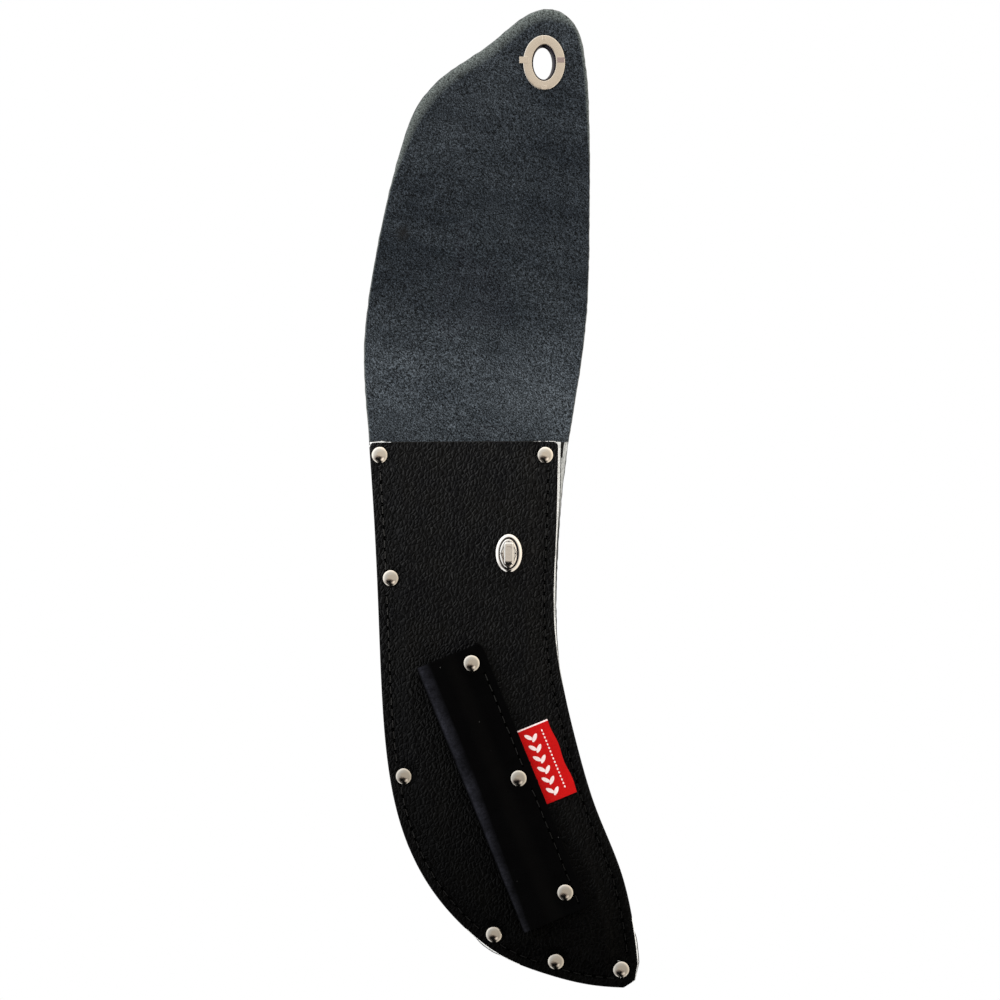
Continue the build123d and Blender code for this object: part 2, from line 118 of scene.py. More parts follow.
def smooth_curve(points, start=None, end=None, step=0.7):
    """A smooth curve through points as a fine polyline, with its end directions where they are given."""
    p = np.array(points, float)
    t = travelled(p)
    gap = np.diff(t)
    slope = np.diff(p, axis=0) / gap[:, None]
    count = len(p)
    system, wanted = np.zeros((count, count)), np.zeros((count, 2))
    for i in range(1, count - 1):
        system[i, i - 1:i + 2] = gap[i], 2 * (gap[i - 1] + gap[i]), gap[i - 1]
        wanted[i] = 3 * (gap[i] * slope[i - 1] + gap[i - 1] * slope[i])
    for row, beside, way, chord in ((0, 1, start, slope[0]), (-1, -2, end, slope[-1])):
        if way is None:
            system[row, row], system[row, beside] = 2, 1
            wanted[row] = 3 * chord
        else:
            system[row, row] = 1
            wanted[row] = np.array(way) / np.linalg.norm(way)
    tangent = np.linalg.solve(system, wanted)
    at = np.linspace(0, t[-1], max(2, round(t[-1] / step)))
    i = np.clip(np.searchsorted(t, at, side="right") - 1, 0, count - 2)
    h = gap[i][:, None]
    u = ((at - t[i]) / gap[i])[:, None]
    return ((2 * u ** 3 - 3 * u ** 2 + 1) * p[i] + (u ** 3 - 2 * u ** 2 + u) * h * tangent[i]
            + (3 * u ** 2 - 2 * u ** 3) * p[i + 1] + (u ** 3 - u ** 2) * h * tangent[i + 1])


def resampled(curve, count):
    """The same polyline with evenly spaced points."""
    t = travelled(curve)
    at = np.linspace(0, t[-1], count)
    return np.stack([np.interp(at, t, curve[:, k]) for k in range(curve.shape[1])], 1)


def left_normals(curve):
    """Unit directions square to a polyline, to its left as it runs."""
    run = np.gradient(curve, axis=0)
    run /= np.linalg.norm(run, axis=1)[:, None]
    return np.stack([-run[:, 1], run[:, 0]], 1)


def shifted(curve, distance):
    """A polyline moved to its left."""
    return curve + distance * left_normals(curve)


def rounded_start(curve, corner_way, radius):
    """A polyline whose first corner, with an edge that leaves it in corner_way, is rounded."""
    t = travelled(curve)
    foot = np.array([np.interp(radius, t, curve[:, k]) for k in (0, 1)])
    way = (curve[0] - foot) / radius
    centre = foot + radius * np.array(corner_way)
    turn = np.linspace(0, math.pi / 2, 7)[:-1]
    arc = [centre + radius * (math.cos(a) * way - math.sin(a) * np.array(corner_way)) for a in turn]
    return np.concatenate([arc, [foot], curve[t > radius]])


def distance_to(curve, points):
    """Distance from each point to a polyline."""
    a, b = curve[:-1], curve[1:]
    along = b - a
    square = (along ** 2).sum(1)
    nearest = np.full(len(points), 1e9)
    for s in range(0, len(points), 4000):
        p = points[s:s + 4000, None, :]
        u = np.clip(((p - a) * along).sum(2) / square, 0, 1)
        gap = p - a - u[..., None] * along
        nearest[s:s + 4000] = np.sqrt((gap ** 2).sum(2).min(1))
    return nearest


def smoothstep(value, low, high):
    u = np.clip((value - low) / (high - low), 0, 1)
    return u * u * (3 - 2 * u)


def ripple(x, z, wavelength, seed, waves=7):
    """Soft irregular waves from about -1 to 1, over the plane of the sheath."""
    random = np.random.default_rng(seed)
    total = np.zeros_like(x, float)
    for _ in range(waves):
        way, phase = random.uniform(0, 2 * math.pi, 2)
        pitch = 2 * math.pi / (wavelength * random.uniform(0.7, 1.5))
        total += np.sin(pitch * (x * math.cos(way) + z * math.sin(way)) + phase)
    return total / math.sqrt(waves)


# Every edge below runs downward from the top or the mouth to the clipped corner.
body_left = np.concatenate([smooth_curve(BODY_LEFT, DOWN_AT_MOUTH, ALONG_BOTTOM), [CORNER]])
lower_right = smooth_curve(BODY_RIGHT, UP_FROM_CORNER, UP_AT_WAIST)
flap_left = smooth_curve(FLAP_LEFT, (-1, 0), DOWN_AT_MOUTH)


def right_edge(points, end):
    """The right edge of one layer, from its upper end down to the clipped corner."""
    upper = smooth_curve([BODY_RIGHT[-1], *points], UP_AT_WAIST, end)
    return np.concatenate([lower_right, upper[1:]])[::-1]


front_right = right_edge(FRONT_RIGHT, (0.02, 1))
welt_right = right_edge(WELT_RIGHT, (0.02, 1))
back_right = right_edge(BACK_RIGHT, (-1, 0))
back_left = np.concatenate([flap_left, body_left[1:]])
# The sewn edge runs on above the mouth, so that distances from it stay true in the mouth's corners.
above_mouth = MOUTH + 22.0
sewn_edge = np.concatenate([[(-47.6, above_mouth)], body_left, front_right[::-1], [(46.2, above_mouth)]])
fold_way = np.array([EYELET[0] - BUTTON[0], EYELET[1] - BUTTON[1]])
fold_way /= np.linalg.norm(fold_way)
fold_middle = (np.array(EYELET) + np.array(BUTTON)) / 2


# ---- Meshes -----------------------------------------------------------------------------------------
def add_mesh(name, shape, materials, replaced, body="sheath", edge=None, sharp=38):
    """A closed, smooth-shaded piece from (points, faces, slots). Its points' places at rest are kept as the
    attribute that leather grain follows, and edge, if given, as their distances from the edge or the fold."""
    points, faces, slots = shape
    mesh = bpy.data.meshes.new(name)
    placed = np.asarray(points, float) * (MM, -MM, MM)
    mesh.from_pydata(placed.tolist(), [], [list(map(int, f)) for f in faces])
    for material in materials:
        mesh.materials.append(material)
    mesh.polygons.foreach_set("material_index", np.asarray(slots, np.int32))
    rest = mesh.attributes.new("rest", "FLOAT_VECTOR", "POINT")
    rest.data.foreach_set("vector", (placed / MM).astype(np.float32).ravel())
    if edge is not None:
        mesh.attributes.new("edge", "FLOAT", "POINT").data.foreach_set("value", np.asarray(edge, np.float32))
    skin = bmesh.new()
    skin.from_mesh(mesh)
    bmesh.ops.recalc_face_normals(skin, faces=skin.faces)
    skin.to_mesh(mesh)
    skin.free()
    mesh.polygons.foreach_set("use_smooth", np.ones(len(mesh.polygons), bool))
    mesh.set_sharp_from_angle(angle=math.radians(sharp))
    piece = bpy.data.objects.new(name, mesh)
    bpy.context.scene.collection.objects.link(piece)
    if body:
        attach(piece, body)
    if replaced:
        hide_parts(*replaced)
    return piece


def joined(*parts):
    """Several (points, faces, slots) made into one."""
    points, faces, slots, base = [], [], [], 0
    for part_points, part_faces, part_slots in parts:
        points.append(np.asarray(part_points, float))
        faces += [[i + base for i in face] for face in part_faces]
        slots += list(part_slots)
        base += len(part_points)
    return np.concatenate(points), faces, slots


def on_both_faces(values, points):
    """Values at a sheet's grid, for all its points: both its faces, and 0 on its rounded edges."""
    return np.concatenate([values.ravel(), values.ravel(), np.zeros(len(points) - 2 * values.size)])


def surface_normals(surface, side):
    across = np.gradient(surface, axis=1)
    down = np.gradient(surface, axis=0)
    normal = np.cross(across, down)
    return side * normal / np.linalg.norm(normal, axis=2)[..., None]


def thick_sheet(surface, thickness, rim=0.4, side=1, free=(True, True), steps=3, top_slots=None, square=0):
    """Leather of one thickness behind a surface of rows and columns, with rounded edges that stand out from
    it by rim. free says whether the first and last rows are such edges, or end flat against the next piece.
    The first rows, as many as square says, turn their thickness towards the straight depth direction.
    Slots are 0 on the surface, 1 on the edges and 2 on the other side."""
    rows, cols = surface.shape[:2]
    normal = surface_normals(surface, side)
    if square:
        straight = smoothstep(-np.arange(rows), -square, 0.0)[:, None, None]
        normal = normal * (1 - straight) + np.array((0.0, float(side), 0.0)) * straight
        normal /= np.linalg.norm(normal, axis=2)[..., None]
    behind = surface - normal * thickness
    loop = ([(0, j) for j in range(cols)] + [(i, cols - 1) for i in range(1, rows)]
            + [(rows - 1, j) for j in range(cols - 2, -1, -1)] + [(i, 0) for i in range(rows - 2, 0, -1)])
    loop = np.array(loop)
    inner = np.stack([np.clip(loop[:, 0], 1, rows - 2), np.clip(loop[:, 1], 1, cols - 2)], 1)
    at, inside = surface[loop[:, 0], loop[:, 1]], surface[inner[:, 0], inner[:, 1]]
    up = normal[loop[:, 0], loop[:, 1]]
    run = np.roll(at, -1, 0) - np.roll(at, 1, 0)
    for row, is_free in ((0, free[0]), (rows - 1, free[1])):
        if not is_free:
            for k in np.where((loop[:, 0] == row) & np.isin(loop[:, 1], (0, cols - 1)))[0]:
                beyond = row + (1 if row == 0 else -1)
                run[k] = surface[beyond, loop[k, 1]] - at[k]
    out = np.cross(run, up)
    out /= np.linalg.norm(out, axis=1)[:, None]
    out *= np.sign((out * (at - inside)).sum(1))[:, None]
    for row, is_free in ((0, free[0]), (rows - 1, free[1])):
        if not is_free:
            middle = (loop[:, 0] == row) & (loop[:, 1] > 0) & (loop[:, 1] < cols - 1)
            out[middle] = 0
    turns = [math.pi / 2 * k / steps for k in range(1, steps + 1)]
    lower = behind[loop[:, 0], loop[:, 1]]
    rings = [at + out * rim * math.sin(a) - up * rim * (1 - math.cos(a)) for a in turns]
    rings += [lower + out * rim * math.sin(a) + up * rim * (1 - math.cos(a)) for a in reversed(turns)]
    count, span = rows * cols, len(loop)
    index = np.arange(count).reshape(rows, cols)
    quads = np.stack([index[:-1, :-1], index[1:, :-1], index[1:, 1:], index[:-1, 1:]], -1).reshape(-1, 4)
    top_loop = index[loop[:, 0], loop[:, 1]]
    chain = [top_loop, *[2 * count + k * span + np.arange(span) for k in range(len(rings))], top_loop + count]
    walls = [np.stack([a, np.roll(a, -1), np.roll(b, -1), b], 1) for a, b in zip(chain, chain[1:])]
    faces = np.concatenate([quads, quads[:, ::-1] + count, *walls])
    top = np.zeros(len(quads), int) if top_slots is None else np.asarray(top_slots).ravel()
    slots = np.concatenate([top, np.full(len(quads), 2), np.full(len(walls) * span, 1)])
    return np.concatenate([surface.reshape(-1, 3), behind.reshape(-1, 3), *rings]), faces, slots


def ring_body(rings, slots=None, closed=False):
    """Skin over rings of equal length. A closed body joins the last ring to the first, else both ends are
    closed to their middles. slots gives the material of each band between rings."""
    count = len(rings[0])
    points = list(np.concatenate(rings))
    faces, kinds = [], []
    pairs = list(zip(range(len(rings)), range(1, len(rings)))) + ([(len(rings) - 1, 0)] if closed else [])
    for k, (a, b) in enumerate(pairs):
        for i in range(count):
            j = (i + 1) % count
            faces.append([a * count + i, a * count + j, b * count + j, b * count + i])
            kinds.append(slots[k] if slots else 0)
    if not closed:
        for ring, kind in ((0, slots[0] if slots else 0), (len(rings) - 1, slots[-1] if slots else 0)):
            points.append(np.mean(rings[ring], axis=0))
            for i in range(count):
                faces.append([ring * count + i, ring * count + (i + 1) % count, len(points) - 1])
                kinds.append(kind)
    return np.array(points), faces, kinds


def recoloured(shape, slot):
    """The same (points, faces, slots) with another material."""
    return shape[0], shape[1], [slot] * len(shape[1])


def oval_ring(centre, half, depth, count):
    a = np.arange(count) * 2 * math.pi / count
    return np.stack([centre[0] + half[0] * np.cos(a), np.full(count, depth),
                     centre[1] + half[1] * np.sin(a)], 1)


def turned(centre, profile, seat, forward=1, count=48):
    """A body of revolution about the depth axis, from (radius, height) pairs measured from its seat."""
    return ring_body([oval_ring(centre, (r, r), seat + forward * h, count) for r, h in profile])


def block(centre, size, low, high, soften=0.12):
    """A small block with softened front edges, from its middle, its width and height and its depths."""
    rings = []
    for depth, less in ((low, 0), (high - soften, 0), (high, soften)):
        w, h = size[0] / 2 - less, size[1] / 2 - less
        rings.append(np.array([(centre[0] + i * w, depth, centre[1] + j * h)
                               for i, j in ((1, 1), (-1, 1), (-1, -1), (1, -1))]))
    return ring_body(rings)


# ---- Materials --------------------------------------------------------------------------------------
class Nodes:
    """Short ways to make and join shader nodes."""

    def __init__(self, tree):
        self.nodes, self.links = tree.nodes, tree.links
        self.nodes.clear()

    def make(self, kind, values, **settings):
        node = self.nodes.new(kind)
        for key, value in settings.items():
            setattr(node, key, value)
        for key, value in values.items():
            self.feed(node.inputs[key], value)
        return node

    def feed(self, socket, value):
        """Links a socket to a node's output or sets its value; a colour may leave out its alpha."""
        if isinstance(value, bpy.types.NodeSocket):
            self.links.new(value, socket)
        elif isinstance(value, tuple):
            socket.default_value = (value + (1,))[:len(socket.default_value)]
        else:
            socket.default_value = value

    def rest(self):
        return self.make("ShaderNodeAttribute", {}, attribute_name="rest").outputs["Vector"]

    def edge(self):
        return self.make("ShaderNodeAttribute", {}, attribute_name="edge").outputs["Fac"]

    def object_mm(self):
        where = self.make("ShaderNodeTexCoord", {}).outputs["Object"]
        return self.scaled(where, (1000, 1000, 1000))

    def vectors(self, operation, *values, output=0):
        return self.make("ShaderNodeVectorMath", dict(enumerate(values)), operation=operation).outputs[output]

    def scaled(self, vector, by):
        return self.vectors("MULTIPLY", vector, by)

    def dimmed(self, colour, by):
        return self.make("ShaderNodeVectorMath", {0: colour, "Scale": by}, operation="SCALE").outputs[0]

    def turned(self, vector, degrees):
        """The vector turned about the depth axis."""
        return self.make("ShaderNodeVectorRotate", {"Vector": vector, "Angle": math.radians(degrees)},
                         rotation_type="Y_AXIS").outputs[0]

    def warped(self, vector, scale, amount):
        noise = self.make("ShaderNodeTexNoise", {"Vector": vector, "Scale": scale, "Detail": 2.0})
        centred = self.vectors("SUBTRACT", noise.outputs["Color"], (0.5, 0.5, 0.5))
        return self.vectors("ADD", self.scaled(centred, (amount,) * 3), vector)

    def noise(self, vector, scale, detail=3.0, roughness=0.5):
        return self.make("ShaderNodeTexNoise", {"Vector": vector, "Scale": scale, "Detail": detail,
                                                "Roughness": roughness}).outputs["Fac"]

    def voronoi(self, vector, scale, feature="F1"):
        return self.make("ShaderNodeTexVoronoi", {"Vector": vector, "Scale": scale},
                         feature=feature).outputs["Distance"]

    def ribs(self, vector, scale, direction, distortion):
        return self.make("ShaderNodeTexWave", {"Vector": vector, "Scale": scale, "Distortion": distortion},
                         bands_direction=direction).outputs["Fac"]

    def part(self, vector, axis):
        return self.make("ShaderNodeSeparateXYZ", {0: vector}).outputs[axis]

    def maths(self, operation, *values):
        return self.make("ShaderNodeMath", dict(enumerate(values)), operation=operation).outputs[0]

    def times(self, a, b):
        return self.maths("MULTIPLY", a, b)

    def fitted(self, value, low, high, to_low=0.0, to_high=1.0):
        return self.make("ShaderNodeMapRange", {"Value": value, "From Min": low, "From Max": high,
                                                "To Min": to_low, "To Max": to_high}).outputs[0]

    def blend(self, factor, a, b, kind="MIX"):
        return self.make("ShaderNodeMix", {0: factor, 6: a, 7: b}, data_type="RGBA",
                         blend_type=kind).outputs[2]

    def bump(self, height, distance_mm, under=None):
        values = {"Height": height, "Distance": distance_mm * MM, "Strength": 1.0}
        if under is not None:
            values["Normal"] = under
        return self.make("ShaderNodeBump", values).outputs[0]


class Tree(Nodes):
    """A material and its one shader."""

    def __init__(self, name):
        self.material = bpy.data.materials.new(name)
        self.material.use_nodes = True
        super().__init__(self.material.node_tree)
        self.shader = self.make("ShaderNodeBsdfPrincipled", {})
        self.make("ShaderNodeOutputMaterial", {0: self.shader.outputs[0]})

    def finish(self, **values):
        """Sets the shader's sockets, named with _ for a space, and gives the material."""
        for key, value in values.items():
            self.feed(self.shader.inputs[key.replace("_", " ")], value)
        return self.material


def grey(value):
    return (value, value, value)


def pebbled_leather(name, depth, low):
    """Black leather with a pebble grain of short upright wrinkles. One side of each pebble has a painted
    highlight and the other painted shade, and painted shade darkens it to `low` at the bottom.
    """
    tree = Tree(name)
    rest = tree.rest()
    warped = tree.warped(tree.warped(rest, 0.16, 2.0), 0.6, 0.9)

    def relief(aside):
        """Pebbles with steep sides, looked at a little to one side."""
        leaning = tree.scaled(tree.turned(tree.vectors("ADD", warped, (aside, 0, 0)), -16), (1.0, 0.4, 0.6))
        return tree.fitted(tree.voronoi(leaning, 0.56, "DISTANCE_TO_EDGE"), 0.0, 0.22)

    height = tree.maths("ADD", relief(0), tree.times(tree.noise(rest, 1.3, 3.0), 0.3))
    # Painted highlight and painted shade: the slope between two samples side by side lightens one side of
    # each pebble and darkens the other.
    slope = tree.maths("SUBTRACT", relief(0.24), relief(-0.24))
    cloud = tree.noise(rest, 0.06, 4.0)
    colour = tree.blend(tree.fitted(cloud, 0.35, 0.65), (0.0038, 0.0039, 0.0047), (0.0052, 0.0052, 0.0052))
    strength = tree.fitted(tree.noise(rest, 0.35, 3.0), 0.35, 0.6, 0.35, 1.0)
    lit = tree.times(tree.fitted(slope, 0.02, 0.7), strength)
    colour = tree.blend(lit, colour, (0.0235, 0.024, 0.0245))
    colour = tree.blend(tree.fitted(slope, -0.02, -0.6, 0.0, 0.85), colour, grey(0.0004))
    # Painted shade: darker towards the bottom, down to low.
    colour = tree.dimmed(colour, tree.fitted(tree.part(rest, "Z"), -205, 35, low, 0.96))
    worn = tree.fitted(tree.edge(), 0.0, 0.8, 0.1, 0.0)
    colour = tree.blend(worn, colour, (0.02, 0.0195, 0.019))
    rough = tree.fitted(tree.noise(rest, 0.3, 3.0), 0.3, 0.7, 0.34, 0.44)
    return tree.finish(Base_Color=colour, Roughness=rough, Specular_IOR_Level=0.03,
                       Normal=tree.bump(height, depth))


def suede_leather():
    """Charcoal flesh side: short nap, cloudy, with painted shade over its upper part, paler and fuzzier
    towards its edges.
    """
    tree = Tree("suede")
    rest = tree.rest()
    height = tree.part(rest, "Z")
    nap = tree.noise(tree.warped(rest, 0.8, 0.8), 1.6, 2.0, 0.6)
    fibres = tree.noise(tree.scaled(tree.turned(rest, 35), (1.0, 1.0, 0.45)), 2.0, 2.0, 0.6)
    patches = tree.noise(tree.scaled(rest, (1.0, 1.0, 1.3)), 0.016, 5.0, 0.62)
    brushed = tree.noise(tree.scaled(tree.turned(rest, 75), (1.0, 1.0, 0.25)), 0.09, 4.0, 0.6)
    cloud = tree.maths("ADD", tree.times(patches, 0.6), tree.times(brushed, 0.4))
    # Painted shade: darker from about 78 mm up, and less dark again towards the tip.
    painted_shading = tree.maths("SUBTRACT", tree.fitted(height, 78, 104), tree.fitted(height, 150, 235, 0.0, 0.55))
    cloud = tree.maths("SUBTRACT", tree.fitted(cloud, 0.33, 0.67), tree.times(painted_shading, 0.62))
    colour = tree.blend(tree.fitted(cloud, -0.35, 0.85), (0.0098, 0.0126, 0.0163), (0.0337, 0.0402, 0.047))
    grain = tree.maths("ADD", tree.times(nap, 0.62), tree.times(fibres, 0.38))
    flecks = tree.maths("POWER", tree.fitted(grain, 0.37, 0.65), 1.8)
    # The tone also holds painted shade: darker from 70 mm up to 115 mm and above.
    tone = tree.times(tree.fitted(flecks, 0, 1, 0.1, 3.7), tree.fitted(height, 70, 115, 1.0, 0.73))
    shaded = tree.dimmed(colour, tone)
    blemish = tree.vectors("DISTANCE", tree.warped(rest, 0.35, 3.0), (-30.1, -SUEDE, 142.6), output="Value")
    shaded = tree.blend(tree.fitted(blemish, 0.8, 4.6, 0.7, 0.0), shaded, grey(0.008))
    reach = tree.times(tree.fitted(height, 165, 205, 1.0, 6.5),
                       tree.fitted(tree.part(rest, "X"), 44, 54, 1.0, 0.3))
    fuzz = tree.maths("SUBTRACT", 1.0, tree.maths("DIVIDE", tree.edge(), reach))
    fuzz = tree.times(tree.fitted(fuzz, 0.0, 1.0), tree.fitted(grain, 0.36, 0.62, 0.1, 1.0))
    shaded = tree.blend(fuzz, shaded, (0.16, 0.183, 0.174))
    return tree.finish(Base_Color=shaded, Roughness=0.95, Specular_IOR_Level=0.1, Sheen_Weight=0.06,
                       Sheen_Roughness=0.45, Sheen_Tint=(0.6, 0.68, 0.72), Normal=tree.bump(grain, 0.5))


def cut_edge(name, pale, dark, dyed, gloss=0.2, ends_at_waist=False):
    """A raw cut edge: packed fibre in thin layers, with patches where the dye has run into it. One that
    ends_at_waist is black from there down to the corner."""
    tree = Tree(name)
    rest = tree.rest()
    layers = tree.noise(tree.scaled(rest, (1.0, 4.0, 1.0)), 1.4, 4.0, 0.65)
    patches = tree.noise(rest, 0.16, 3.0)
    colour = tree.blend(tree.fitted(layers, 0.3, 0.7), dark, pale)
    colour = tree.blend(tree.fitted(patches, 0.5, 0.6, 0.0, dyed), colour, grey(0.008))
    if ends_at_waist:
        height = tree.part(rest, "Z")
        dark_here = tree.times(tree.fitted(height, -66, -82), tree.fitted(height, -170, -150))
        colour = tree.blend(dark_here, colour, grey(0.008))
    return tree.finish(Base_Color=colour, Roughness=0.85, Specular_IOR_Level=gloss,
                       Normal=tree.bump(layers, 0.3))


def skived_edge():
    """The pared strip of the back panel beside the mouth: grey fibre, dark in dashes at its rim, partly dye
    and partly painted shadow of the gap between the layers, and darker lower down.
    """
    tree = Tree("skived_edge")
    rest = tree.rest()
    layers = tree.noise(tree.scaled(rest, (3.0, 1.0, 0.5)), 1.0, 3.0, 0.6)
    colour = tree.blend(tree.fitted(layers, 0.35, 0.65), (0.2, 0.21, 0.21), (0.46, 0.48, 0.48))
    # The dark rim is partly dye and partly painted shadow of the gap between the layers.
    rim = tree.fitted(tree.edge(), 0.25, 0.7, 0.8, 0.0)
    low = tree.fitted(tree.part(rest, "Z"), -4, 12, 1.0, 0.0)
    dashes = tree.fitted(tree.noise(tree.scaled(rest, (1.0, 1.0, 0.4)), 0.7, 2.0), 0.4, 0.56)
    dark = tree.times(tree.maths("MAXIMUM", rim, low), tree.maths("MAXIMUM", dashes, 0.72))
    colour = tree.blend(dark, colour, grey(0.006))
    return tree.finish(Base_Color=colour, Roughness=0.85, Specular_IOR_Level=0.1,
                       Normal=tree.bump(layers, 0.3))


def smooth_leather():
    """The sleeve's smooth matt black hide, with a faint blue painted highlight along its fold and a few dust
    specks.
    """
    tree = Tree("smooth_hide")
    rest = tree.rest()
    fine = tree.noise(rest, 1.9, 5.0, 0.65)
    soft = tree.noise(rest, 0.12, 3.0)
    colour = tree.blend(soft, (0.0004, 0.0004, 0.0005), (0.001, 0.001, 0.0011))
    high = tree.fitted(tree.part(rest, "Z"), -205, -125)
    # Painted highlight: a faint blue band along the fold, wider and stronger higher up, broken by the nap.
    fold = tree.maths("DIVIDE", tree.edge(), tree.fitted(high, 0, 1, 0.55, 1.1))
    painted_shading = tree.times(tree.fitted(fold, 0.2, 1.4), tree.fitted(fold, 1.2, 6.5, 1.0, 0.0))
    painted_shading = tree.times(painted_shading, tree.fitted(high, 0, 1, 0.5, 1.2))
    along = tree.turned(rest, math.degrees(SLEEVE_TILT))
    nap = tree.noise(tree.scaled(along, (0.5, 1.0, 1.0)), 0.9, 3.0, 0.65)
    painted_shading = tree.times(painted_shading, tree.fitted(nap, 0.35, 0.65, 0.45, 1.0))
    painted_shading = tree.times(painted_shading, tree.fitted(tree.noise(rest, 0.11, 3.0), 0.35, 0.65, 0.45, 1.1))
    colour = tree.blend(painted_shading, colour, (0.0145, 0.015, 0.02))
    specks = tree.fitted(tree.voronoi(rest, 0.13), 0.03, 0.045, 0.6, 0.0)
    colour = tree.blend(specks, colour, grey(0.05))
    return tree.finish(Base_Color=colour, Roughness=0.5, Specular_IOR_Level=0.015,
                       Normal=tree.bump(fine, 0.06, tree.bump(soft, 0.5)))


def plated(name, colour, roughness, worn=0.12, tarnish_and_shade=None):
    """Plated metal with fine scratches and a slightly uneven polish. The darkening, if given, is how much of
    its brightness is left at the bottom of the sheath and at the mouth: partly tarnish and partly painted
    shade."""
    tree = Tree(name)
    where = tree.object_mm()
    scratches = tree.noise(tree.scaled(tree.turned(where, 28), (0.5, 1.0, 9.0)), 0.9, 3.0, 0.7)
    waves = tree.noise(where, 0.55, 2.0)
    tint = tree.blend(tree.fitted(scratches, 0.5, 0.75, 0.0, worn), colour, tuple(c * 0.55 for c in colour))
    # Partly tarnish and partly painted shade: darker towards the bottom of the sheath.
    if tarnish_and_shade:
        tint = tree.dimmed(tint, tree.fitted(tree.part(where, "Z"), -120, 34, *tarnish_and_shade))
    rough = tree.fitted(scratches, 0.35, 0.7, roughness, roughness + 0.1)
    return tree.finish(Base_Color=tint, Metallic=1.0, Roughness=rough,
                       Normal=tree.bump(scratches, 0.006, tree.bump(waves, 0.05)))


def woven(name, colour, shade):
    """Satin ribbon: fine ribs both ways, turned with the sleeve."""
    tree = Tree(name)
    along = tree.turned(tree.rest(), math.degrees(SLEEVE_TILT))
    height = tree.times(tree.ribs(along, 1.3, "X", 0.4), tree.ribs(along, 0.9, "Z", 0.4))
    soft = tree.noise(along, 0.2, 3.0)
    tone = tree.maths("ADD", tree.times(height, 0.6), tree.times(soft, 0.5))
    return tree.finish(Base_Color=tree.blend(tone, shade, colour), Roughness=0.55, Specular_IOR_Level=0.06,
                       Normal=tree.bump(height, 0.05))


def waxed_thread():
    """Black twisted thread with a little wax on it, with painted shade that darkens it to the right and
    towards the bottom.
    """
    tree = Tree("black_thread")
    rest = tree.rest()
    plies = tree.ribs(tree.turned(rest, 30), 0.8, "Z", 1.0)
    # Painted shade: darker towards the bottom and to the right.
    painted_shade = tree.times(tree.fitted(tree.part(rest, "Z"), -190, 20, 0.22, 1.0),
                      tree.fitted(tree.part(rest, "X"), -44, 20, 1.15, 0.5))
    colour = tree.dimmed(tree.blend(plies, grey(0.012), (0.05, 0.05, 0.049)), painted_shade)
    return tree.finish(Base_Color=colour, Roughness=0.35, Specular_IOR_Level=0.08,
                       Normal=tree.bump(plies, 0.12))


def painted_floor():
    tree = Tree("floor")
    where = tree.object_mm()
    colour = tree.blend(tree.noise(where, 0.004), grey(0.78), grey(0.82))
    return tree.finish(Base_Color=colour, Roughness=0.6)


pebbled = pebbled_leather("pebbled_hide", 0.4, 0.05)
grain_back = pebbled_leather("grain_back", 0.32, 0.6)
suede = suede_leather()
pale_edge = cut_edge("pale_edge", (0.8, 0.81, 0.8), (0.45, 0.46, 0.46), 0.45, ends_at_waist=True)
welt_edge = cut_edge("welt_edge", (0.78, 0.8, 0.8), (0.36, 0.38, 0.38), 0.12)
mouth_edge = cut_edge("mouth_edge", (0.4, 0.41, 0.41), (0.1, 0.105, 0.105), 0.85)
hide_edge = cut_edge("hide_edge", (0.19, 0.2, 0.2), (0.05, 0.055, 0.055), 0.5)
flesh = cut_edge("flesh_side", (0.05, 0.052, 0.054), (0.022, 0.023, 0.025), 0.0)
# Near-black: dyed cut edges, and painted shade on the hide's face beside the pocket.
dark_edge_and_shade = cut_edge("dark_edge_and_shade", (0.012, 0.012, 0.012), (0.004, 0.004, 0.004), 0.3)
pared = skived_edge()
# Near-black painted shade for the needle holes at the stitches' ends.
black = cut_edge("painted_hole_shade", grey(0.0002), grey(0.0001), 0.0, 0.0)
smooth_hide = smooth_leather()
nickel = plated("nickel", (0.86, 0.84, 0.8), 0.1)
warm_nickel = plated("warm_nickel", (0.88, 0.83, 0.74), 0.08, tarnish_and_shade=(0.62, 0.94))
washer_nickel = plated("washer_nickel", (0.97, 0.9, 0.79), 0.16, 0.2)
# Near-black nickel: painted shade inside the eyelet's tube and in the turn button's groove, and the knob's
# two dots.
dark_nickel_and_shade = plated("dark_nickel_and_shade", (0.03, 0.026, 0.036), 0.3)
# Painted shade for the eyelet's right tab: a dim purplish nickel.
shaded_tab_metal = plated("shaded_tab_nickel", (0.6, 0.5, 0.5), 0.24)
label_red = woven("label_red", (0.4, 0.0042, 0.0042), (0.31, 0.0025, 0.0028))
label_white = woven("label_white", (0.74, 0.68, 0.67), (0.55, 0.42, 0.42))
thread = waxed_thread()


# ---- Hide: back panel, three bending bands and flap -------------------------------------------------
def columns(width):
    """Distances across a row, close together near both edges."""
    near = min(6.0, width / 3.5)
    side = np.linspace(0, near, 11)
    between = np.linspace(near, width - near, 66)[1:-1]
    return np.concatenate([side, between, width - side[::-1]])


def ruled(left, right):
    """Rows of points from one edge to the other; both edges have the same number of points."""
    rows = []
    for a, b in zip(left, right):
        width = np.linalg.norm(b - a)
        rows.append(a + (columns(width) / width)[:, None] * (b - a))
    return np.array(rows)


def deepened(plan, depth):
    """Plan points (x, z) with a depth each, as (x, depth, z)."""
    return np.stack([plan[..., 0], np.broadcast_to(depth, plan.shape[:-1]), plan[..., 1]], -1)


def fold_distance(points):
    """Distance up the hide from the fold's middle line."""
    return (points - fold_middle) @ fold_way


def cut_at(curve, distance):
    """The point where a downward edge crosses a line of the fold."""
    s = fold_distance(curve)
    i = np.where((s[:-1] >= distance) & (s[1:] < distance))[0][0]
    u = (s[i] - distance) / (s[i] - s[i + 1])
    return curve[i] + u * (curve[i + 1] - curve[i])


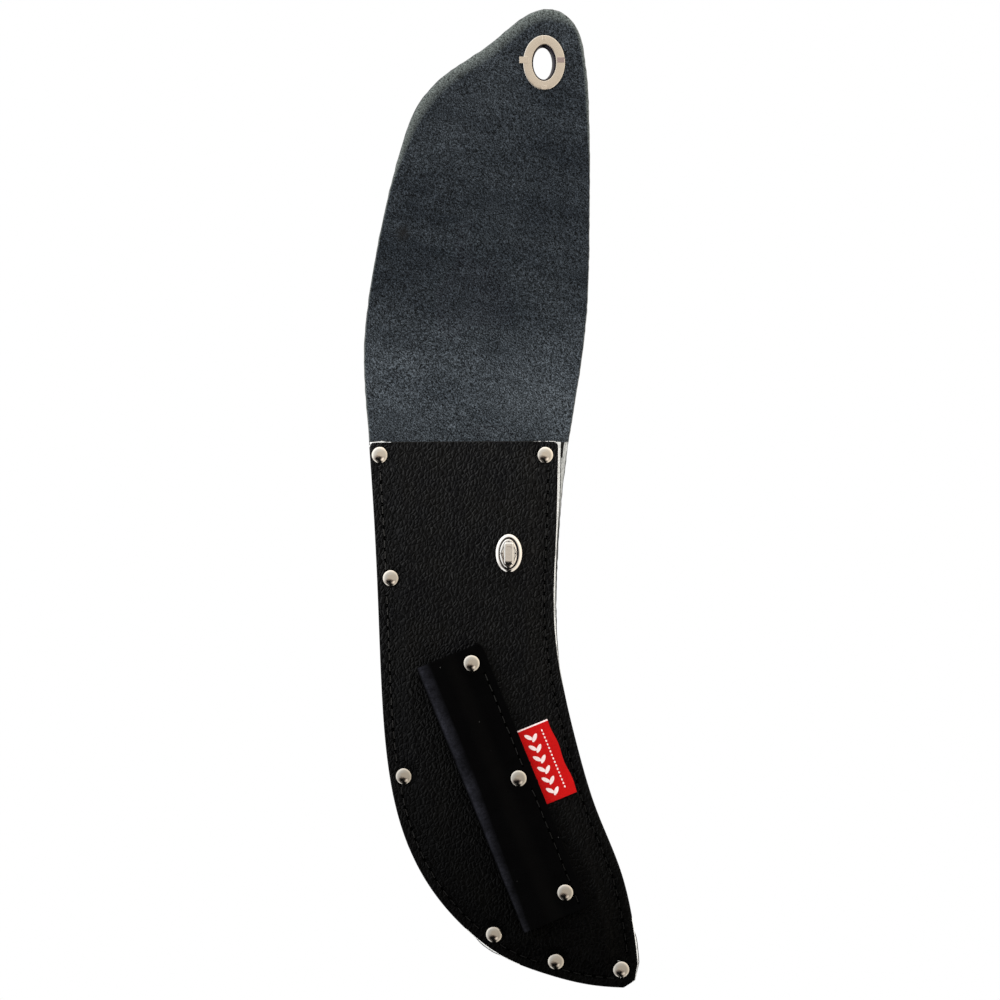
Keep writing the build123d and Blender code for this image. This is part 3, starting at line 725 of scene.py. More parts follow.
def fuzzy(edge, seed):
    """An edge with the slight wander of a hand-cut hide."""
    wander = 0.07 * ripple(*edge.T, 5, seed) + 0.07 * ripple(*edge.T, 17, seed + 1)
    return edge + wander[:, None] * left_normals(edge)


hide_left = fuzzy(shifted(back_left, HIDE_RIM), 61)
hide_right = fuzzy(shifted(back_right, -HIDE_RIM), 63)
hide_outline = np.concatenate([back_left, back_right[::-1]])


def hide_surface(plan):
    """The suede face: gently uneven, thinned along the skived right edge beside the mouth."""
    x, z = plan[..., 0], plan[..., 1]
    edge = distance_to(hide_outline, plan.reshape(-1, 2)).reshape(x.shape)
    uneven = 0.16 * ripple(x, z, 46, 11) + 0.05 * ripple(x, z, 9, 12)
    calm = smoothstep(np.hypot((x - EYELET[0]) / 1.2, z - EYELET[1]), 11, 26)
    rounding = 0.3 * (1 - smoothstep(edge, 0, 1.8))
    beside_pocket = (x > 0) * smoothstep(-z, -46, -38) * smoothstep(z, -110, -85)
    skived = 1.3 * (1 - smoothstep(edge, 0, 3.2)) * beside_pocket
    return deepened(plan, SUEDE + uneven * calm - rounding - skived), edge


def edge_between(edge, low, high):
    """The part of a downward edge between two distances from the fold's middle; None is an open end."""
    if high is None:
        edge = edge[3:]  # the tip is left blunt, so that the first row has some width
    else:
        edge = np.concatenate([[cut_at(edge, high)], edge[fold_distance(edge) < high]])
    if low is not None:
        edge = np.concatenate([edge[fold_distance(edge) > low], [cut_at(edge, low)]])
    return edge


def hide_piece(name, low, high, rows, body, replaced, hole=False):
    """The hide between two distances from the fold's middle, as one sheet; None is an open end."""
    plan = ruled(*[resampled(edge_between(side, low, high), rows) for side in (hide_left, hide_right)])
    surface, edge = hide_surface(plan)
    x, z = np.moveaxis((plan[:-1, :-1] + plan[1:, 1:]) / 2, -1, 0)
    edge_here = (edge[:-1, :-1] + edge[1:, 1:]) / 2
    beside_pocket = (x > 0) & (z < MOUTH - 0.3) & (z > PARED_END)
    pared_here = edge_here < PARED_WIDTH + WIDER_BELOW * smoothstep(-z, -31, -27)
    # Beside the pocket, the face outside the pared strip, under the front panel and in the gap by the welt,
    # gets the near-black edge material as painted shade.
    top = np.where(beside_pocket, np.where(pared_here, 3, 4), 0)
    points, faces, slots = thick_sheet(surface, BACK_HIDE, HIDE_RIM, free=(high is None, low is None),
                                       top_slots=top)
    slots[(slots == 1) & (points[faces].mean(1)[:, 2] < MOUTH)] = 4
    edges = on_both_faces(edge, points)
    if hole:
        points, faces, slots, edges = pierced(points, faces, slots, edges, 2 * edge.size)
    return add_mesh(name, (points, faces, slots), [suede, hide_edge, grain_back, pared, dark_edge_and_shade], replaced,
                    body, edges)


def pierced(points, faces, slots, edges, flat):
    """Cuts the eyelet's oval hole through a sheet whose first flat points are its two faces."""
    offset = (points[:, [0, 2]] - EYELET) / EYELET_HOLE
    ratio = np.linalg.norm(offset, axis=1)
    middle = ratio[faces].mean(1)
    kept = ~((middle < 1) & (faces.max(1) < flat))
    cut = np.unique(faces[~kept])
    rim = np.intersect1d(cut, np.unique(faces[kept]))
    points[np.ix_(rim, [0, 2])] = offset[rim] / ratio[rim][:, None] * EYELET_HOLE + EYELET
    loops = {}
    for face in faces[~kept]:
        for a, b in zip(face, np.roll(face, -1)):
            loops[(a, b)] = loops.get((b, a), 0) + 1
    border = [(a, b) for (a, b) in loops if (b, a) not in loops and a < flat // 2]
    walls = np.array([[a, b, b + flat // 2, a + flat // 2] for a, b in border])
    faces = np.concatenate([faces[kept], walls])
    slots = np.concatenate([slots[kept], np.ones(len(walls), int)])
    used = np.unique(faces)
    renumber = np.zeros(len(points), int)
    renumber[used] = np.arange(len(used))
    return points[used], renumber[faces], slots, edges[used]


half_band = STRIP / 2
hide_piece("back_panel_hide", None, -3 * half_band, 330, "sheath", ["back_panel"])
bands = [("fold_band_lower", -3, -1, "sheath", "fold_strip_1", ["fold_strip_1"]),
         ("fold_band_middle", -1, 1, "fold_strip_1", "fold_strip_2", ["fold_strip_2"]),
         ("fold_band_upper", 1, 3, "fold_strip_2", "flap", [])]
for name, low, high, under, over, replaced in bands:
    band = hide_piece(name, low * half_band, high * half_band, 12, None, replaced)
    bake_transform(band)
hide_piece("flap_hide", 3 * half_band, None, 165, "flap", ["flap"], hole=True)


# ---- Welt: it peeps out beside the mouth, at the lower left and at the corner -----------------------
welt_side = welt_right.copy()
beside_mouth = 0.3 - 0.7 * smoothstep(welt_side[:, 1], 8, 36)
welt_side[:, 0] += beside_mouth * smoothstep(welt_side[:, 1], -74, -60)
welt_low = body_left[:-1]
lower_left = 0.75 * np.exp(-((welt_low[:, 0] - 11.5) / 5.0) ** 4) * (welt_low[:, 1] < -190)
welt_low = welt_low - lower_left[:, None] * left_normals(welt_low)
at_corner = 1.1 * smoothstep(-welt_side[:-1, 1], 196, 204)
welt_side[:-1] += at_corner[:, None] * left_normals(welt_side[:-1])
welt_outline = np.concatenate([welt_low, [CORNER], welt_side[::-1][1:]])
welt_line = resampled(shifted(welt_outline, WELT_RIM), 560)
inside = np.linspace(0, WELT_WIDTH - WELT_RIM, 8)[None, :, None]
welt_plan = welt_line[:, None, :] + inside * left_normals(welt_line)[:, None, :]
x, z = welt_plan[..., 0], welt_plan[..., 1]
curl = 0.2 * np.exp(-((x + 40.5) / 1.6) ** 2) - 0.75 * smoothstep(x, -40.5, -36.5) - 0.15
welt_plan[..., 1] += smoothstep(z, MOUTH - 4, MOUTH) * (x < 0) * curl
add_mesh("welt_strip", thick_sheet(deepened(welt_plan, WELT - 0.02), WELT_HIDE - 0.04, WELT_RIM),
         [welt_edge, dark_edge_and_shade, welt_edge], ["welt"])


# ---- Front panel ------------------------------------------------------------------------------------
def panel_depth(plan):
    """Depth of the front panel's outer face, with its distance to the sewn edge. It rises from its sewn
    flange, with a pillow and a groove along the seam and a flat seat at each rivet."""
    x, z = plan[..., 0], plan[..., 1]
    edge = distance_to(sewn_edge, plan.reshape(-1, 2)).reshape(x.shape)
    depth = FLANGE + (PANEL - FLANGE) * smoothstep(edge, 5.2, 15.0)
    pillow = 0.28 * np.exp(-((edge - 7.2) / 1.9) ** 2)
    groove = 0.42 * np.exp(-((edge - SEAM_IN) / 0.75) ** 2)
    across, along = on_sleeve(x, z)
    apart = np.maximum(np.maximum(-across, across - SLEEVE_WIDTH), np.maximum(-along, along - SLEEVE_LENGTH))
    calm = smoothstep(apart, 0, 16) * smoothstep(np.hypot(x - BUTTON[0], z - BUTTON[1]), 9, 20)
    uneven = 0.2 * ripple(x, z, 34, 21) + 0.07 * ripple(x, z, 11, 22)
    depth = depth + pillow - groove + uneven * calm * smoothstep(edge, 2, 12)
    for rx, rz in BODY_RIVETS:
        away = np.hypot(x - rx, z - rz)
        seat = FLANGE - 0.12 + 0.3 * np.exp(-((away - CAP_RADIUS - 1.3) / 0.9) ** 2)
        depth = seat + (depth - seat) * smoothstep(away, CAP_RADIUS + 0.3, CAP_RADIUS + 5.0)
    depth = depth - 0.35 * (1 - smoothstep(edge, 0, 1.5))
    return depth, edge


def on_sleeve(x, z):
    """Distances across the sleeve from its right edge, and along it from its top end."""
    dx, dz = x - SLEEVE_TOP[0], z - SLEEVE_TOP[1]
    return -(dx * TILT_COS + dz * TILT_SIN), dx * TILT_SIN - dz * TILT_COS


def sleeve_place(across, along):
    """The plan point at these distances across and along the sleeve."""
    return np.stack([SLEEVE_TOP[0] - across * TILT_COS + along * TILT_SIN,
                     SLEEVE_TOP[1] - across * TILT_SIN - along * TILT_COS], -1)


panel_left = shifted(rounded_start(body_left, (1, 0), MOUTH_ROUND), FRONT_RIM)
panel_right = shifted(rounded_start(front_right, (-1, 0), MOUTH_ROUND), 0.45 - FRONT_RIM)
panel_plan = ruled(resampled(panel_left, 400), resampled(panel_right, 400))
depth, panel_edge = panel_depth(panel_plan)
points, faces, slots = thick_sheet(deepened(panel_plan, depth), FRONT_HIDE, FRONT_RIM, square=14)
x, _, z = points[faces].mean(1).T
# The cut edge is pale down the right side to the waist, and at the mouth's left corner, the lower left and
# the clipped corner. Along the mouth it is dyed, first without a break and then in dashes.
pale = ((x > 34) & (z > -82)) | ((x < -36) & (z > 38)) | ((z < -178) & (x > 82)) | ((z < -198) & (x < 27))
slots[(slots == 1) & ~pale] = 3
along_mouth = (slots == 1) & (z > MOUTH - 0.1)
broken = (x < 42) & (ripple(x, 0, 2.2, 61) < 0.25)
slots[along_mouth & (((x > -43.5) & (x < 34)) | broken)] = 4
add_mesh("front_panel_hide", (points, faces, slots), [pebbled, pale_edge, flesh, dark_edge_and_shade, mouth_edge],
         ["front_panel"], edge=on_both_faces(panel_edge, points))


# ---- Rivets -----------------------------------------------------------------------------------------
def dome_profile(radius, height):
    """Half section of a domed cap with a rolled rim, from its crown to its seat."""
    rise = [(radius * s, 0.45 + (height - 0.45) * (1 - s ** 2) ** 0.8) for s in np.linspace(0.05, 0.98, 15)]
    return rise + [(radius, 0.42), (radius, 0.12), (radius - 0.15, 0.0)]


def rivet(name, centre, back, front, radius, back_dome, front_dome):
    """A cap with its barrel at the front and a cap with its pin at the back, as two pieces."""
    for part, seat, forward, dome, shaft, short in (("cap", front, 1, front_dome, 1.6, 0.2),
                                                    ("pin", back, -1, back_dome, 1.05, 0.3)):
        profile = dome_profile(radius, dome) + [(shaft, 0.0), (shaft, short - (front - back))]
        add_mesh(f"{name}_{part}_head", turned(centre, profile, seat, forward), [warm_nickel],
                 [f"{name}_{part}"])


SEAM_TOP = 2 * SLEEVE_HIDE
sleeve_rivets = [sleeve_place(SLEEVE_RIVET_IN, along) for along in SLEEVE_RIVETS]
for kind, spots, *sizes in (("body", BODY_RIVETS, BACK, FLANGE, CAP_RADIUS, DOME, DOME),
                            ("sleeve", sleeve_rivets, CEILING, PANEL + SEAM_TOP, CAP_RADIUS, FLAT_DOME, DOME),
                            ("belt", BELT_RIVETS, BACK - BELT_HIDE, SUEDE, BELT_CAP, DOME, FLAT_DOME)):
    for number, spot in enumerate(spots, 1):
        rivet(f"{kind}_rivet_{number}", spot, *sizes)


# ---- Sharpener sleeve -------------------------------------------------------------------------------
SLEEVE_CORNER = 4.5
SLEEVE_RIM = 0.4
FOLD_STRETCH = 1.15  # the fold is this much wider than a half circle


def sleeve_section():
    """The folded sleeve's outer section as (across, height): under, round the fold, and over to the seam."""
    radius = SLEEVE_HEIGHT / 2
    bend = SLEEVE_WIDTH - radius * FOLD_STRETCH
    low = [(a, 0.0) for a in np.linspace(SLEEVE_RIM, bend, 26)]
    turn = [(bend + FOLD_STRETCH * radius * math.sin(t), radius - radius * math.cos(t))
            for t in np.linspace(0, math.pi, 18)[1:-1]]
    top = []
    for a in np.linspace(bend, SLEEVE_RIM, 56):
        rise = smoothstep(a, 11.5, 22.5)
        crown = 0.18 * math.sin(math.pi * np.clip((a - 14) / (bend - 14), 0, 1))
        top.append((a, SEAM_TOP + (SLEEVE_HEIGHT - 0.2 - SEAM_TOP) * rise + crown))
    return np.array(low + turn + top)


section = sleeve_section()
rows = np.concatenate([np.linspace(SLEEVE_RIM, 6, 10), np.linspace(6, SLEEVE_LENGTH - SLEEVE_RIM, 128)[1:]])
sleeve_surface = []
for along in rows:
    short = SLEEVE_CORNER - math.sqrt(SLEEVE_CORNER ** 2 - (SLEEVE_CORNER - min(along, SLEEVE_CORNER)) ** 2)
    across = section[:, 0] + short * np.clip(1 - section[:, 0] / 12, 0, 1)
    x, z = sleeve_place(across, np.full_like(across, along)).T
    over = section[:, 1] > 2.5
    swell = 0.22 * ripple(x, z, 40, 31) + 0.1 * ripple(x, z, 15, 32)
    loose = smoothstep(across, 12, 24) * over
    sag = 0.5 * (np.exp(-(along / 9) ** 2) + np.exp(-((SLEEVE_LENGTH - along) / 9) ** 2))
    height = section[:, 1] + loose * (swell - sag)
    for rivet_along in SLEEVE_RIVETS:
        away = np.hypot(across - SLEEVE_RIVET_IN, along - rivet_along)
        height = height - over * (0.16 - 0.34 * np.exp(-((away - CAP_RADIUS - 1.2) / 0.9) ** 2)) * (away < 9)
    height = height - over * 0.35 * np.exp(-((across - 4.0) / 0.7) ** 2)
    sleeve_surface.append(np.stack([x, PANEL + height, z], 1))
sleeve_surface = np.array(sleeve_surface)
sleeve = thick_sheet(sleeve_surface, SLEEVE_HIDE - 0.03, SLEEVE_RIM)
from_fold = SLEEVE_WIDTH - on_sleeve(sleeve[0][:, 0], sleeve[0][:, 2])[0]
add_mesh("sharpener_sleeve_hide", sleeve, [smooth_hide, smooth_hide, flesh], ["sharpener_sleeve"],
         edge=from_fold)


# ---- Label: a red ribbon with a plain woven leaf pattern --------------------------------------------
def label_place(out, along, lift=0.0):
    """A point on the label, from the sleeve's right edge and top end; its free part is slightly wavy."""
    plan = sleeve_place(-out, along)
    depth, _ = panel_depth(plan)
    free = smoothstep(out, 0, 14)
    wave = 0.45 * np.sin(along * 0.23 + 0.9) + 0.25 * np.sin(along * 0.52 + out * 0.2)
    height = 0.25 + 0.55 * free + 0.4 * wave * free
    resting = PANEL + 0.45 * (np.minimum(depth, PANEL) - PANEL)
    return deepened(plan, resting + height + lift)


label_out, label_along = np.meshgrid(np.linspace(-LABEL_TUCK + 0.1, LABEL_OUT - 0.1, 36),
                                     np.linspace(LABEL_SPAN[0] + 0.1, LABEL_SPAN[1] - 0.1, 60))
edge_wave = 0.35 * np.sin(label_along * 0.34) * smoothstep(label_out, 4, 16)
points, faces, slots = thick_sheet(label_place(label_out + edge_wave, label_along), 0.45, 0.1, steps=2)
corner = points[faces[:, 0]]
pale_fold = on_sleeve(corner[:, 0], corner[:, 2])[1] < LABEL_SPAN[0] + 0.75
slots[pale_fold & (slots != 2)] = 3
add_mesh("label_ribbon", (points, faces, slots), [label_red, label_red, label_red, label_white], ["label"])


def leaf(out, along, length, width, turn):
    """A pointed leaf woven on the label, as (points, faces, slots)."""
    u = np.linspace(0, math.pi, 14)
    half = width / 2 * np.sin(u) ** 1.2
    line = -length / 2 * np.cos(u)
    outline = np.concatenate([np.stack([line, half], 1), np.stack([line, -half], 1)[::-1][1:-1]])
    cos, sin = math.cos(turn), math.sin(turn)
    spots_out = out + outline[:, 0] * sin + outline[:, 1] * cos
    spots_along = along + outline[:, 0] * cos - outline[:, 1] * sin
    return ring_body([label_place(spots_out, spots_along, lift) for lift in (-0.06, 0.06)])


sprig = []
for k in range(6):
    along = LABEL_SPAN[0] + 5.0 + k * 5.6
    sprig.append(leaf(3.9, along, 4.6, 1.9, 0.75))
    sprig.append(leaf(6.6, along + 1.2, 4.6, 1.9, -0.75))
for k in range(17):
    sprig.append(leaf(11.3, LABEL_SPAN[0] + 4.2 + k * 1.85, 1.15, 0.75, 0.0))
add_mesh("label_motif", joined(*sprig), [label_white], ())


# ---- Belt loop --------------------------------------------------------------------------------------
def strap_line():
    """The back face of the belt loop's strap, from its upper foot to its lower one, as (depth, z)."""
    foot, slack = BACK - BELT_HIDE, -BELT_HIDE - 3.0
    half = [(foot, 41.1), (foot, 36), (foot, 32.2), (foot - 1.1, 30.2), (-3.2, 27.6), (slack + 0.35, 25.4),
            (slack, 22.4), (slack, 12)]
    line = half + [(slack, 0)] + [(d, -z) for d, z in reversed(half)]
    return smooth_curve([(z, d) for d, z in line], step=0.9)[:, ::-1]


strap = strap_line()
strap_across = np.linspace(-BELT_WIDTH / 2 + 0.4, BELT_WIDTH / 2 - 0.4, 44)
strap_x, strap_depth = np.meshgrid(strap_across, strap[:, 0])
strap_z = np.meshgrid(strap_across, strap[:, 1])[1]
edge_gap = BELT_WIDTH / 2 - np.abs(strap_x)
strap_depth = strap_depth - 0.1 * ripple(strap_x, strap_z, 22, 41) * smoothstep(41 - np.abs(strap_z), 3, 14)
strap_depth = strap_depth + 0.25 * (1 - smoothstep(edge_gap, 0, 1.5))
strap_depth = strap_depth + 0.22 * np.exp(-((edge_gap - 3.2) / 0.5) ** 2)
strap_sheet = thick_sheet(np.stack([strap_x, strap_depth, strap_z], -1), BELT_HIDE - 0.02, 0.4, side=-1)
add_mesh("belt_loop_strap", strap_sheet, [grain_back, hide_edge, flesh], ["belt_loop"],
         edge=on_both_faces(edge_gap, strap_sheet[0]))


# ---- Stitching --------------------------------------------------------------------------------------
def stitch(middle, way, depth, forward):
    """One stitch: a thread that rises from the leather and dives back in; its two wider, near-black ends are
    painted shade for the needle holes.
    """
    side = np.array([-way[1], way[0]])
    turn = np.arange(8) * 2 * math.pi / 8
    sections = []
    for u in np.linspace(-1, 1, 13):
        centre = middle + way * u * STITCH_LENGTH / 2
        rise = depth + forward * (0.22 - 0.5 * u ** 6)
        thick = THREAD_RADIUS * (1 + 1.3 * smoothstep(abs(u), 0.62, 0.85))
        spots = centre[None, :] + np.cos(turn)[:, None] * thick * side[None, :]
        sections.append(np.stack([spots[:, 0], rise + forward * 0.8 * thick * np.sin(turn), spots[:, 1]], 1))
    # The thickened ends get the near-black hole material: painted shade for the needle holes.
    return ring_body(sections, [1] * 2 + [0] * 8 + [1] * 2)


def seam(name, path, rivets, depth_at, forward, replaced):
    """Stitches along a path, leaving out those that a rivet covers."""
    count = round(travelled(path)[-1] / STITCH_PITCH)
    spots = resampled(path, 2 * count + 1)
    made = []
    random = np.random.default_rng(51)
    for k in range(count):
        middle, way = spots[2 * k + 1], spots[2 * k + 2] - spots[2 * k]
        way = way / np.linalg.norm(way)
        lean = random.normal(0, 0.035)
        way = np.array([way[0] - lean * way[1], way[1] + lean * way[0]])
        if all(np.hypot(*(middle - spot)) > CAP_RADIUS + 2.3 for spot in np.array(rivets)):
            made.append(stitch(middle, way, depth_at(middle), forward))
    add_mesh(name, joined(*made), [thread, black], [replaced], sharp=60)


seam_line = shifted(resampled(sewn_edge, 900), SEAM_IN)
seam_line = resampled(seam_line[seam_line[:, 1] < MOUTH - 2.5], 900)
seam("body_needle_stitches", seam_line, BODY_RIVETS, lambda p: panel_depth(p[None, :])[0][0] + 0.1, 1,
     "body_needle_thread")
seam("body_bobbin_stitches", seam_line, BODY_RIVETS, lambda p: BACK, -1, "body_bobbin_thread")
sleeve_line = sleeve_place(np.array([4.0, 4.0]), np.array([3.0, SLEEVE_LENGTH - 3.0]))
seam("sleeve_stitches", sleeve_line, sleeve_rivets, lambda p: PANEL + SEAM_TOP - 0.2, 1, "sleeve_thread")


# ---- Eyelet and washer ------------------------------------------------------------------------------
def eyelet_ring(a, b, depth, drift=0.0):
    """A ring of the eyelet, from its half width and half height, moved by drift to the lower left."""
    return oval_ring((EYELET[0] - drift, EYELET[1] - 0.75 * drift), (a, b), depth, 96)


# Each ring's half width, half height and depth, and how far the worn tube leans there.
SHELL_RINGS = [(5.85, 8.8, BACK), (5.85, 8.8, SUEDE + 0.5), (5.7, 8.65, SUEDE + 0.72),
               (5.5, 8.45, SUEDE + 0.7), (5.3, 8.25, SUEDE + 0.4, 0.1), (4.95, 8.05, SUEDE - 1.0, 0.4),
               (4.65, 7.85, BACK - 0.2, 0.75), (4.8, 8.0, BACK - 0.75, 0.75), (5.4, 8.5, BACK - 0.9, 0.6),
               (7.6, 10.8, BACK - 0.98), (9.5, 12.7, BACK - 0.8), (10.15, 13.35, BACK - 0.45),
               (10.3, 13.5, BACK - 0.05)]
WASHER_RINGS = [(5.95, 8.9, SUEDE), (5.95, 8.9, SUEDE + 0.5), (6.03, 8.98, SUEDE + 0.72),
                (6.15, 9.1, SUEDE + 0.8), (6.3, 9.25, SUEDE + 0.81), (8.2, 11.3, SUEDE + 0.81),
                (9.8, 13.0, SUEDE + 0.81), (10.05, 13.25, SUEDE + 0.78), (10.22, 13.42, SUEDE + 0.65),
                (10.3, 13.5, SUEDE + 0.4), (10.3, 13.5, SUEDE)]
# The tube's inner wall gets the near-black nickel: painted shade inside the tube.
shell = ring_body([eyelet_ring(*ring) for ring in SHELL_RINGS], [0] + [1] * 6 + [0] * 6, closed=True)
washer = ring_body([eyelet_ring(*ring) for ring in WASHER_RINGS], closed=True)
TAB_SHEET = 0.22


def tab(way, start, length, width, proud=0.3):
    """A tab of the eyelet, bent flat over the washer; way points outward."""
    middle = (EYELET[0] + way[0] * (start + length / 2),
              EYELET[1] + way[1] * (start + length / 2) + 1.3 * abs(way[0]))
    size = (length, width) if way[0] else (width, length)
    return block(middle, size, SUEDE + 0.6, SUEDE + 0.84 + proud * TAB_SHEET, 0.06)


tabs = [tab((-1, 0), 7.6, 4.5, 3.2, 1.0), tab((0, -1), 11.1, 2.1, 2.2), tab((0, 1), 11.1, 2.1, 1.6)]
side_tab = tab((1, 0), 6.4, 3.6, 2.6, 0.4)
# The right tab gets the dim purplish nickel as painted shade.
add_mesh("eyelet_shell", joined(shell, *tabs, recoloured(side_tab, 2)),
         [washer_nickel, dark_nickel_and_shade, shaded_tab_metal], ["eyelet"], "flap")
add_mesh("eyelet_washer_ring", washer, [washer_nickel], ["eyelet_washer"], "flap")


# ---- Turn button ------------------------------------------------------------------------------------
def base_ring(inward, height, drift=0.0):
    """A ring of the base's oval, this far in from its outer edge, moved by drift to the lower left."""
    centre = (BUTTON[0] - drift, BUTTON[1] - 0.6 * drift)
    return oval_ring(centre, (6.6 - inward, 9.55 - inward), PANEL + height, 84)


POST_RADIUS = 2.0
BASE_RINGS = [(0.0, 0.0), (0.0, 0.5), (0.1, 0.75), (0.32, 0.98), (0.9, 1.4), (1.45, 1.72), (1.65, 1.75),
              (1.74, 1.6), (1.8, 0.6), (2.15, 0.6, 0.2), (2.2, 1.7, 0.2), (2.35, 2.3, 0.2), (2.7, 2.7, 0.2),
              (3.15, 2.9)]
base_rings = [base_ring(*ring) for ring in BASE_RINGS]
for wider, height in ((0.35, 3.0), (0.05, 2.9), (0.05, 0.0)):
    base_rings.append(oval_ring(BUTTON, (POST_RADIUS + wider,) * 2, PANEL + height, 84))
# The groove round the base gets the near-black nickel: painted shade in the recess.
parts = [ring_body(base_rings, [0] * 7 + [1] * 3 + [0] * 7, closed=True)]
for i in (-1, 1):
    for j in (-1, 1):
        leg = (BUTTON[0] + i * 4.1, BUTTON[1] + j * 5.0)
        parts.append(block(leg, (0.8, 2.4), CEILING - 0.8, PANEL + 0.1, 0.05))
        foot = (leg[0] + i * 1.4, leg[1])
        parts.append(block(foot, (2.8, 2.4), CEILING - 1.3, CEILING - 0.8, 0.1))
add_mesh("turn_button_oval", joined(*parts), [nickel, dark_nickel_and_shade], ["turn_button_base"])


KNOB_FROM = 6.9
# Each ring's half width, half height, height above the knob's underside, and the power of its shape.
BAR_RINGS = [(2.1, 5.3, 0.9, 9), (2.42, 5.6, 1.2, 9), (2.42, 5.6, 2.4, 9), (2.34, 5.4, 2.85, 8),
             (2.16, 5.0, 3.16, 8), (1.95, 4.5, 3.33, 7), (1.7, 3.9, 3.4, 7), (1.45, 3.4, 3.41, 7),
             (1.38, 3.2, 3.38, 6), (1.25, 2.9, 3.38, 6), (0.7, 1.7, 3.38, 5)]
FLARE_RINGS = [(3.7, 5.6, 0.0, 1.25), (4.1, 6.0, 0.3, 1.25), (4.1, 6.0, 0.9, 1.25), (3.75, 5.6, 1.35, 1.3),
               (2.4, 4.4, 1.6, 1.6)]


def knob_ring(half_width, half_height, height, power):
    """A ring of the knob; a power of 1 is a diamond, 2 an ellipse, and more a rounded rectangle."""
    a = np.arange(80) * 2 * math.pi / 80
    cos, sin = np.cos(a), np.sin(a)
    reach = (np.abs(cos) ** power + np.abs(sin) ** power) ** (-1 / power)
    return np.stack([BUTTON[0] + half_width * cos * reach, np.full(80, PANEL + (KNOB_FROM + height)),
                     BUTTON[1] + half_height * sin * reach], 1)


bar, flare = [ring_body([knob_ring(*ring) for ring in rings]) for rings in (BAR_RINGS, FLARE_RINGS)]
post = turned(BUTTON, [(POST_RADIUS, KNOB_FROM + 0.4), (POST_RADIUS, -FRONT_HIDE - 1.1),
                       (3.1, -FRONT_HIDE - 1.1), (3.1, -FRONT_HIDE - 1.6)], PANEL)
dot = [(0.36, KNOB_FROM + 0.8), (0.36, KNOB_FROM + 1.5), (0.2, KNOB_FROM + 1.56)]
dots = [recoloured(turned((BUTTON[0] + i * 3.25, BUTTON[1]), dot, PANEL, count=16), 1) for i in (-1, 1)]
add_mesh("turn_button_turnpiece", joined(bar, flare, post, *dots), [nickel, dark_nickel_and_shade],
         ["turn_button_knob"], "knob")

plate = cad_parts["turn_button_backplate"]
plate.data.materials.clear()
plate.data.materials.append(nickel)


# ---- Floor, light and camera ------------------------------------------------------------------------
FLOOR_Z, FLOOR_RADIUS = -0.36, 0.62
bpy.ops.mesh.primitive_circle_add(vertices=96, radius=FLOOR_RADIUS, fill_type="NGON",
                                  location=(0.017, 0.0, FLOOR_Z))
floor = bpy.context.object
floor.name = "floor"
floor.data.materials.append(painted_floor())
floor.visible_glossy = False
floor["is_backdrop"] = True


def softbox(name, place, aim, size, power, colour=(1, 1, 1)):
    """A square area light that faces a point."""
    data = bpy.data.lights.new(name, "AREA")
    data.shape = "RECTANGLE"
    data.size, data.size_y = size
    data.energy = power
    data.color = colour
    light = bpy.data.objects.new(name, data)
    bpy.context.scene.collection.objects.link(light)
    light.location = place
    light.visible_glossy = False
    light.rotation_euler = (Vector(aim) - Vector(place)).to_track_quat("-Z", "Y").to_euler()


softbox("key", (0.0, -0.7, 0.95), (0.02, 0, 0.06), (0.9, 0.6), 13, (1, 0.99, 0.97))
softbox("left", (-0.95, -0.45, 0.1), (0, 0, 0), (0.5, 1.1), 4, (0.97, 0.98, 1))
softbox("right", (0.98, -0.45, 0.1), (0, 0, 0), (0.5, 1.1), 3.5, (1, 0.97, 0.93))
softbox("behind", (0.3, 1.2, 0.8), (0, 0, 0), (0.8, 0.8), 16)


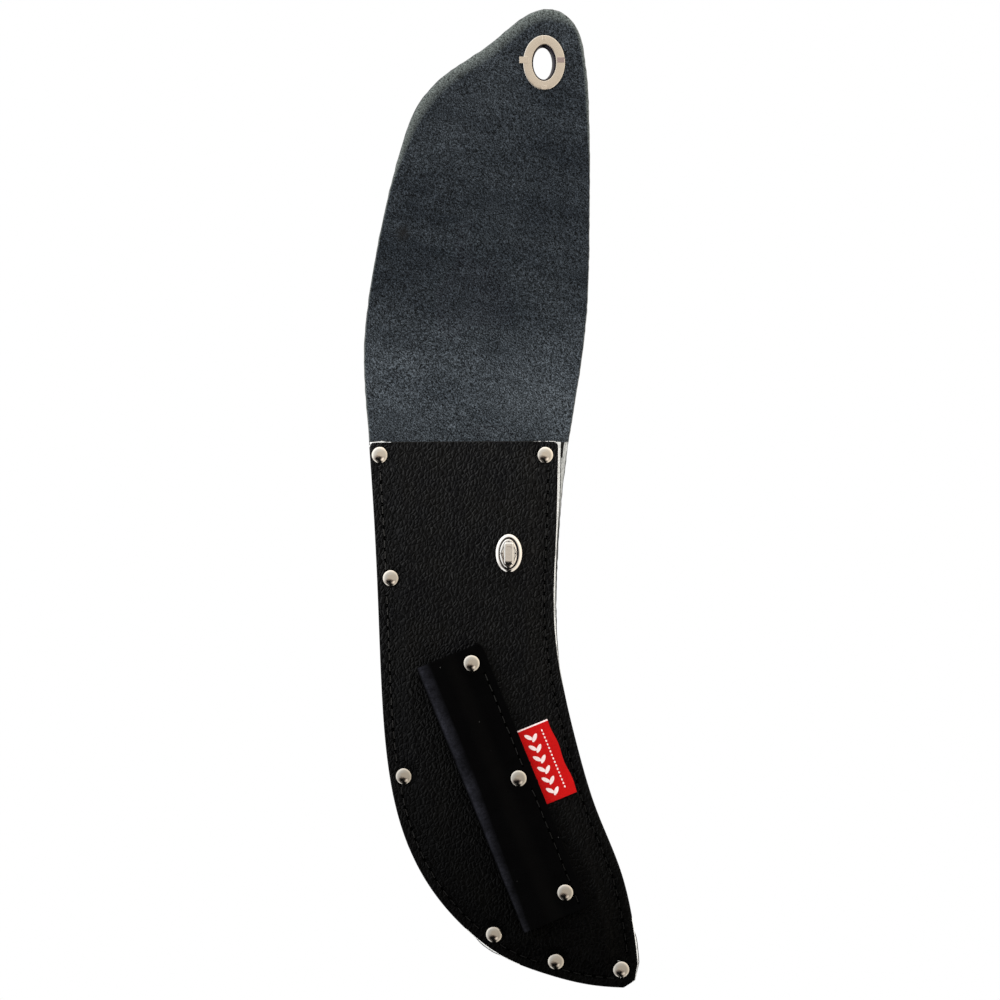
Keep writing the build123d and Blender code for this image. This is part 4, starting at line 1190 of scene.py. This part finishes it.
def studio():
    """White behind the object, and round it a pale tent, dimmer in its middle, with dark patches low down."""
    world = bpy.data.worlds.new("studio")
    bpy.context.scene.world = world
    world.use_nodes = True
    tree = Nodes(world.node_tree)
    way = tree.make("ShaderNodeTexCoord", {}).outputs["Generated"]
    bent = tree.warped(way, 2.6, 0.55)

    def patch(centre, half, soft):
        """1 inside an uneven patch of the tent, in front and behind, falling to 0 past it."""
        near = tree.vectors("SUBTRACT", bent, (centre[0], 0, centre[1]))
        flat = tree.scaled(near, (1 / half[0], 0, 1 / half[1]))
        return tree.fitted(tree.vectors("LENGTH", flat, output="Value"), 1 + soft, 1 - soft)

    tent = tree.blend(tree.fitted(tree.part(way, "Z"), -0.9, 0.7), grey(0.62), grey(1.0))
    side = tree.blend(tree.fitted(tree.part(way, "X"), -0.5, 0.7), (1.0, 1.0, 1.0), (0.92, 0.83, 0.72))
    tent = tree.blend(1.0, tent, side, "MULTIPLY")
    tent = tree.blend(patch((0.0, 0.04), (0.45, 0.4), 0.3), tent, (0.82, 0.74, 0.65))
    facing = tree.maths("ABSOLUTE", tree.part(way, "Y"))
    tent = tree.dimmed(tent, tree.fitted(facing, 0.8, 0.4, 1.0, 2.2))
    for centre, half, soft, colour in (((-0.16, -0.4), (0.58, 0.3), 0.4, (0.27, 0.2, 0.175)),
                                       ((-0.2, -0.46), (0.36, 0.29), 0.25, grey(0.008)),
                                       ((0.0, -0.9), (0.27, 0.42), 0.2, grey(0.006)),
                                       ((0.34, -0.42), (0.15, 0.14), 0.5, (1.7, 1.55, 1.4))):
        tent = tree.blend(patch(centre, half, soft), tent, colour)
    lit = tree.make("ShaderNodeBackground", {"Color": tent, "Strength": 0.78}).outputs[0]
    white = tree.make("ShaderNodeBackground", {"Color": (1, 1, 1, 1)}).outputs[0]
    seen = tree.make("ShaderNodeLightPath", {}).outputs["Is Camera Ray"]
    both = tree.make("ShaderNodeMixShader", {0: seen, 1: lit, 2: white}).outputs[0]
    tree.make("ShaderNodeOutputWorld", {0: both})


studio()
bpy.context.scene.view_settings.view_transform = "Standard"

VIEW_WIDTH = 0.49
VIEW_MIDDLE = (0.0174, 0.01176)
CAMERA_AWAY = 6.0
MATCH_DEPTH = 0.006  # how far in front of the origin the view is VIEW_WIDTH wide
camera = bpy.data.objects.new("camera", bpy.data.cameras.new("camera"))
bpy.context.scene.collection.objects.link(camera)
camera.location = (VIEW_MIDDLE[0], -CAMERA_AWAY, VIEW_MIDDLE[1])
camera.rotation_euler = (math.pi / 2, 0, 0)
camera.data.lens = camera.data.sensor_width * (CAMERA_AWAY - MATCH_DEPTH) / VIEW_WIDTH
camera.data.clip_end = 20
bpy.context.scene.camera = camera

low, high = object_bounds()
